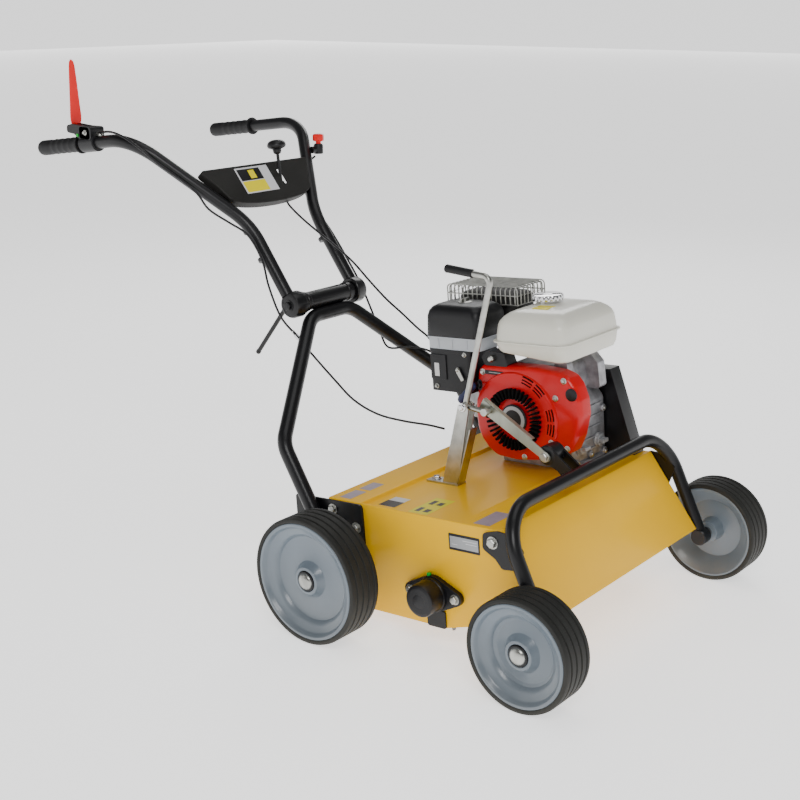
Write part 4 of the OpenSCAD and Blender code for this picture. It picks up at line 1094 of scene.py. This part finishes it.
def air_cleaner():
    cover = Shape()
    loops = []
    for w, inset, r in ((378.1, 0.5, 14), (379, 0, 14), (420, 1.5, 15), (431, 4, 17), (438, 9, 18),
                        (442, 16, 18), (443.5, 24, 16)):
        loops.append(rounded_loop(42 + inset, 150 - inset, -93 + inset, 45 - inset, r, w))
    cover.loft(loops)
    cover.lathe([(15, 443), (15, 444.6), (13, 445.4)], (96, -24, 0), (0, 0, 1), 40, 1)
    cover.lathe([(6, 445), (6, 448), (3, 451.5)], (96, -24, 0), (0, 0, 1), 6, 1)
    for s in (-1, 1):
        cover.box(96 + min(s * 5, s * 14), 96 + max(s * 5, s * 14), -26, -22, 445, 451.6, 1)
    piece("air_cleaner_cover_skin", cover, "chassis", [PLASTIC, ZINC], DECK, ["air_cleaner_cover"],
          sharp=35)
    case = Shape()
    case.loft([rounded_loop(44, 148, -91, 43, 14, w) for w in (352, 376)], 1)
    case.loft([rounded_loop(41.9, 150, -93, 45, 14, w) for w in (374.5, 378)], 1)
    for v in (-62, -24, 12):
        case.box(42.4, 44.4, v - 1.5, v + 1.5, 353, 374, 1)
    case.loft([rounded_loop(44, 148, -66, 38, 8, w) for w in (262, 352)])
    case.loft([rounded_loop(43, 149, -68, 40, 9, w) for w in (345, 352)])
    case.box(41.5, 44, -6, 34, 288, 340, 0)
    case.box(41.2, 41.6, 12, 24, 294, 322, 3)
    case.screw((44, 22, 272), (-1, 0, 0), 3.6, 2)
    case.screw((44, -54, 344), (-1, 0, 0), 3.6, 2)
    piece("air_cleaner_case_skin", case, "chassis", [PLASTIC, GREY_BAND, ZINC, LABEL_WHITE], DECK,
          ["air_cleaner_case"], 0.6)
    carb = Shape()
    carb.box(104, 146, -58, -10, 232, 262)
    carb.lathe([(8, 190), (17, 193), (19.5, 198), (19.5, 214), (22, 216), (22, 219), (15, 221), (15, 234)],
               (125, -30, 0), (0, 0, 1), 40)
    carb.lathe([(6, 0), (6, 10), (4, 12)], (125, -30, 192), (0, 0, -1), 6, 1)
    carb.box(100, 104, -62, -6, 226, 262)
    carb.tube([(101, -48, 238), (88, -52, 236), (84, -60, 222), (84, -72, 196), (96, -86, 188)], 3, 12, 2)
    carb.screw((104, -52, 244), (-1, 0, 0), 3.4, 1)
    piece("carburetor_skin", carb, "chassis", [CAST, ZINC, PLASTIC], DECK, ["carburetor"], 0.8)


def muffler():
    made = Shape()
    made.loft([rounded_loop(160 + i, 250 - i, -106 + i, 52 - i, r, w) for w, i, r in
               ((338, 6, 20), (341, 2, 24), (346, 0, 26), (440, 2, 26), (446, 5, 24), (449, 11, 20))])
    made.ring([(38, 0), (39.5, 1.5), (38, 3)], (205, -27, 384), (0, 0, 1), 48)
    made.lathe([(11, 0), (11, 12)], (250, 20, 360), (1, 0, 0), 32)
    piece("muffler_skin", made, "chassis", [HEAT], DECK, ["muffler"], sharp=30)
    guard = Shape()
    r, top, low = 1.5, 468, 430
    x0, x1, v0, v1 = 153.5, 255.5, -116.5, 64.5
    for i in range(9):
        x = x0 + (x1 - x0) * i / 8
        guard.tube(bent([(x, v0, low), (x, v0, top), (x, v1, top), (x, v1, low)], [9, 9], 5), r, 10)
    for i in range(15):
        v = v0 + 6 + (v1 - v0 - 12) * i / 14
        hoop = [(x0, v, low), (x0, v, top - 2.6), (x1, v, top - 2.6), (x1, v, low)]
        guard.tube(bent(hoop, [8, 8], 5), r, 10)
    for w in (low, (low + top) / 2):
        guard.tube([(x0, v0, w), (x1, v0, w), (x1, v1, w), (x0, v1, w)], r, 10, closed=True)
    piece("muffler_guard_skin", guard, "chassis", [ZINC], DECK, ["muffler_guard"], sharp=60)


def crankcase():
    """The cast block with its ribs, covers, bolts and oil fillers."""
    made = Shape()
    c0, c1 = CRANK
    front, back, low, high = c0 - 102, c0 + 64, TRAY_W + 8, c1 + 60
    made.prism(fillet([(front, low), (back, low), (back, high - 6), (back - 20, high), (front + 30, high),
                       (front, high - 36)], [10, 10, 8, 10, 24, 24], 6), 100, 226)
    made.prism(fillet([(front - 8, TRAY_W), (back + 10, TRAY_W), (back + 10, low + 4), (front - 8, low + 4)], 3),
               108, 214)
    made.lathe([(58, 0), (57, 8), (50, 10), (44, 10)], (226, c0, c1), (1, 0, 0), 64)
    for k in range(6):
        a = math.radians(60 * k + 20)
        made.bolt((232, c0 + 66 * math.cos(a), c1 + 52 * math.sin(a)), (1, 0, 0), 5.5, 4, 0, 1)
    for k in range(5):
        w = low + 22 + k * 22
        made.box(118, 214, front - 3.5, front + 3, w, w + 3.5)
    for x, w in ((112, 122), (112, 222), (218, 122), (218, 214), (165, 128)):
        made.lathe([(8, -2), (8, 5), (6.4, 6.4)], (x, front, w), (0, -1, 0), 24)
        made.bolt((x, front - 5, w), (0, -1, 0), 5, 4, 0, 1)
    made.prism(fillet([(-286, 262), (-256, 262), (-236, 300), (-236, 338), (-262, 338), (-282, 316)], 8),
               188, 214)
    made.prism(fillet([(-266, 276), (-246, 276), (-226, 318), (-238, 336), (-260, 330)], 8), 108, 128)
    made.prism(fillet([(-262, 262), (-120, 262), (-112, 300), (-130, 322), (-250, 322)], 10), 112, 206)
    made.prism(fillet([(-150, 322), (-92, 322), (-84, 338), (-96, 352), (-140, 350)], 5), 62, 96, 2)
    made.lathe([(7, 0), (7, 8), (4, 12)], (62, -112, 338), (-1, 0, 0), 28, 1)
    piece("engine_block_skin", made, "chassis", [CAST, ZINC, PLASTIC], DECK, ["engine_block"],
          1.4, 3)
    plugs = Shape()
    for x in (128, 196):
        base = (x, c0 - 102, TRAY_W + 44)
        plugs.lathe([(15, 0), (15, 4), (13, 5), (13, 11)], base, (0, -1, 0), 36)
        plugs.box(x - 10, x + 10, c0 - 102 - 21.5, c0 - 102 - 10, TRAY_W + 40, TRAY_W + 48)
    piece("oil_plugs_skin", plugs, "chassis", [LABEL_GREY], DECK, ["oil_plugs"], 1.2, 3)


def engine_controls():
    """The switch, the starter's handle and the choke lever."""
    y, z = 76, 70
    oval = [(y + 6 * math.cos(a), z + 12 * math.sin(a)) for a in [i * math.pi / 16 for i in range(32)]]
    switch = Shape().prism(oval, 41.5, 43.2)
    switch.lathe([(4.5, 0), (4.5, 4.5), (3.5, 5)], (41.5, y, z), (-1, 0, 0), 28)
    switch.box(36.5, 41, y - 1.6, y + 1.6, z - 7, z + 7)
    piece("engine_switch_skin", switch, "engine_switch", [PLASTIC], ENGINE, ["engine_switch"],
          0.5)
    grip = Shape()
    top, low = Vector((90, 66)), Vector((115, 40))
    along = (low - top).normalized()
    across = Vector((-along.y, along.x))
    loops = []
    for h, wide, thick in ((-11, 4, 3.4), (-9.5, 7, 5), (-5, 9, 6), (4, 8, 5.6), (16, 7.4, 5.2),
                           (30, 8, 5.6), (40, 9, 6), (45, 7, 5), (47, 4, 3.4)):
        centre = top + along * h
        loops.append([(31 + thick * math.cos(t), *(centre + across * (wide * math.sin(t))))
                      for t in [i * math.pi / 12 for i in range(24)]])
    grip.loft(loops)
    grip.tube([(36, 91, 70), (140, 91, 70), (216, 91, 70)], 2.4, 12, 1)
    piece("starter_grip_skin", grip, "starter_grip", [BLUE, PLASTIC], ENGINE, ["starter_grip"],
          sharp=40)
    choke = Shape()
    pivot = Vector((-38, 312))
    tip = pivot + Vector((-13, -22))
    n = (tip - pivot).normalized()
    n = Vector((-n.y, n.x))
    blade = [tuple(pivot + n * 5), tuple(tip + n * 4), tuple(tip - n * 4), tuple(pivot - n * 5)]
    choke.prism(fillet(blade, 3.6), 37, 40)
    choke.lathe([(5, -1), (5, 2), (4, 3.7)], (40, *pivot), (1, 0, 0), 28)
    choke.bolt((37, *pivot), (-1, 0, 0), 4, 2, 0)
    piece("choke_lever_skin", choke, "choke_lever", [ZINC], DECK, ["choke_lever"], 0.4)


# ---- cables ----

CLUTCH_ROUTE = [
    (-257, 731, 898), (-264, 686, 905), (-267, 640, 899), (-257, 598, 876), (-232, 564, 840), (-206, 536, 812),
    (-185, 508, 782), (-176, 484, 750), (-150, 452, 722), (-126, 430, 700), (-119, 408, 673), (-119, 385, 636),
    (-120, 370, 590), (-116, 342, 529), (-108, 306, 492), (-87, 279, 449), (-66, 238, 398), (-46, 200, 354),
    (-22, 155, 326), (4, 106, 314), (30, 58, 308), (50, 30, 300)
]
THROTTLE_ROUTE = [
    (55, 484, 765), (56, 481, 739), (59, 466, 722), (66, 436, 698), (72, 402, 676), (76, 356, 650),
    (78, 307, 620), (80, 262, 584), (82, 217, 550), (82, 172, 524), (80, 130, 500), (78, 100, 486), (76, 84, 474)
]
SWITCH_ROUTE = [
    (226, 552, 818), (196, 552, 800), (160, 527, 767), (131, 486, 732), (122, 438, 699), (122, 404, 664),
    (126, 366, 612), (128, 330, 560), (126, 295, 502), (139, 282, 452), (137, 256, 423), (166, 219, 424),
    (221, 204, 405), (236, 159, 373), (232, 100, 364), (218, 70, 366)
]


def cables():
    made = Shape()
    for route in (CLUTCH_ROUTE, THROTTLE_ROUTE, SWITCH_ROUTE):
        made.tube(smooth(route), 2.4, 12)
    made.tube([(-110, 314, 500), (-93, 286, 462)], 3.6, 16, 1)
    made.tube([(-107, 309, 493), (-103, 302, 484)], 5, 6, 1)
    piece("cables_skin", made, "chassis", [CABLE, CHROME], replaces=["cables"], sharp=60,
          body_b="upper_handle")


def carried_over():
    """CAD nodes whose own shape is right."""
    for name, finish, bevel, segments in (
            ("rotor_blades", STEEL, 0.4, 2), ("rotor_spacers", ZINC, 0.5, 2), ("rotor_shaft", ZINC, 0.5, 2),
            ("crankshaft", ZINC, 0.5, 2), ("drive_belt", GRIP, 0.6, 2), ("idler_pulley", ZINC, 0.5, 2),
            ("cylinder_head", CAST, 0.8, 2), ("belt_guard", BLACK, 1.0, 3)):
        dress(name, finish, bevel, segments)


camera()
studio()
wheels()
housing()
deck_fittings()
labels()
handles()
grips()
front_frame()
depth_gear()
console()
controls()
fan_cover()
tank()
air_cleaner()
muffler()
crankcase()
engine_controls()
cables()
carried_over()
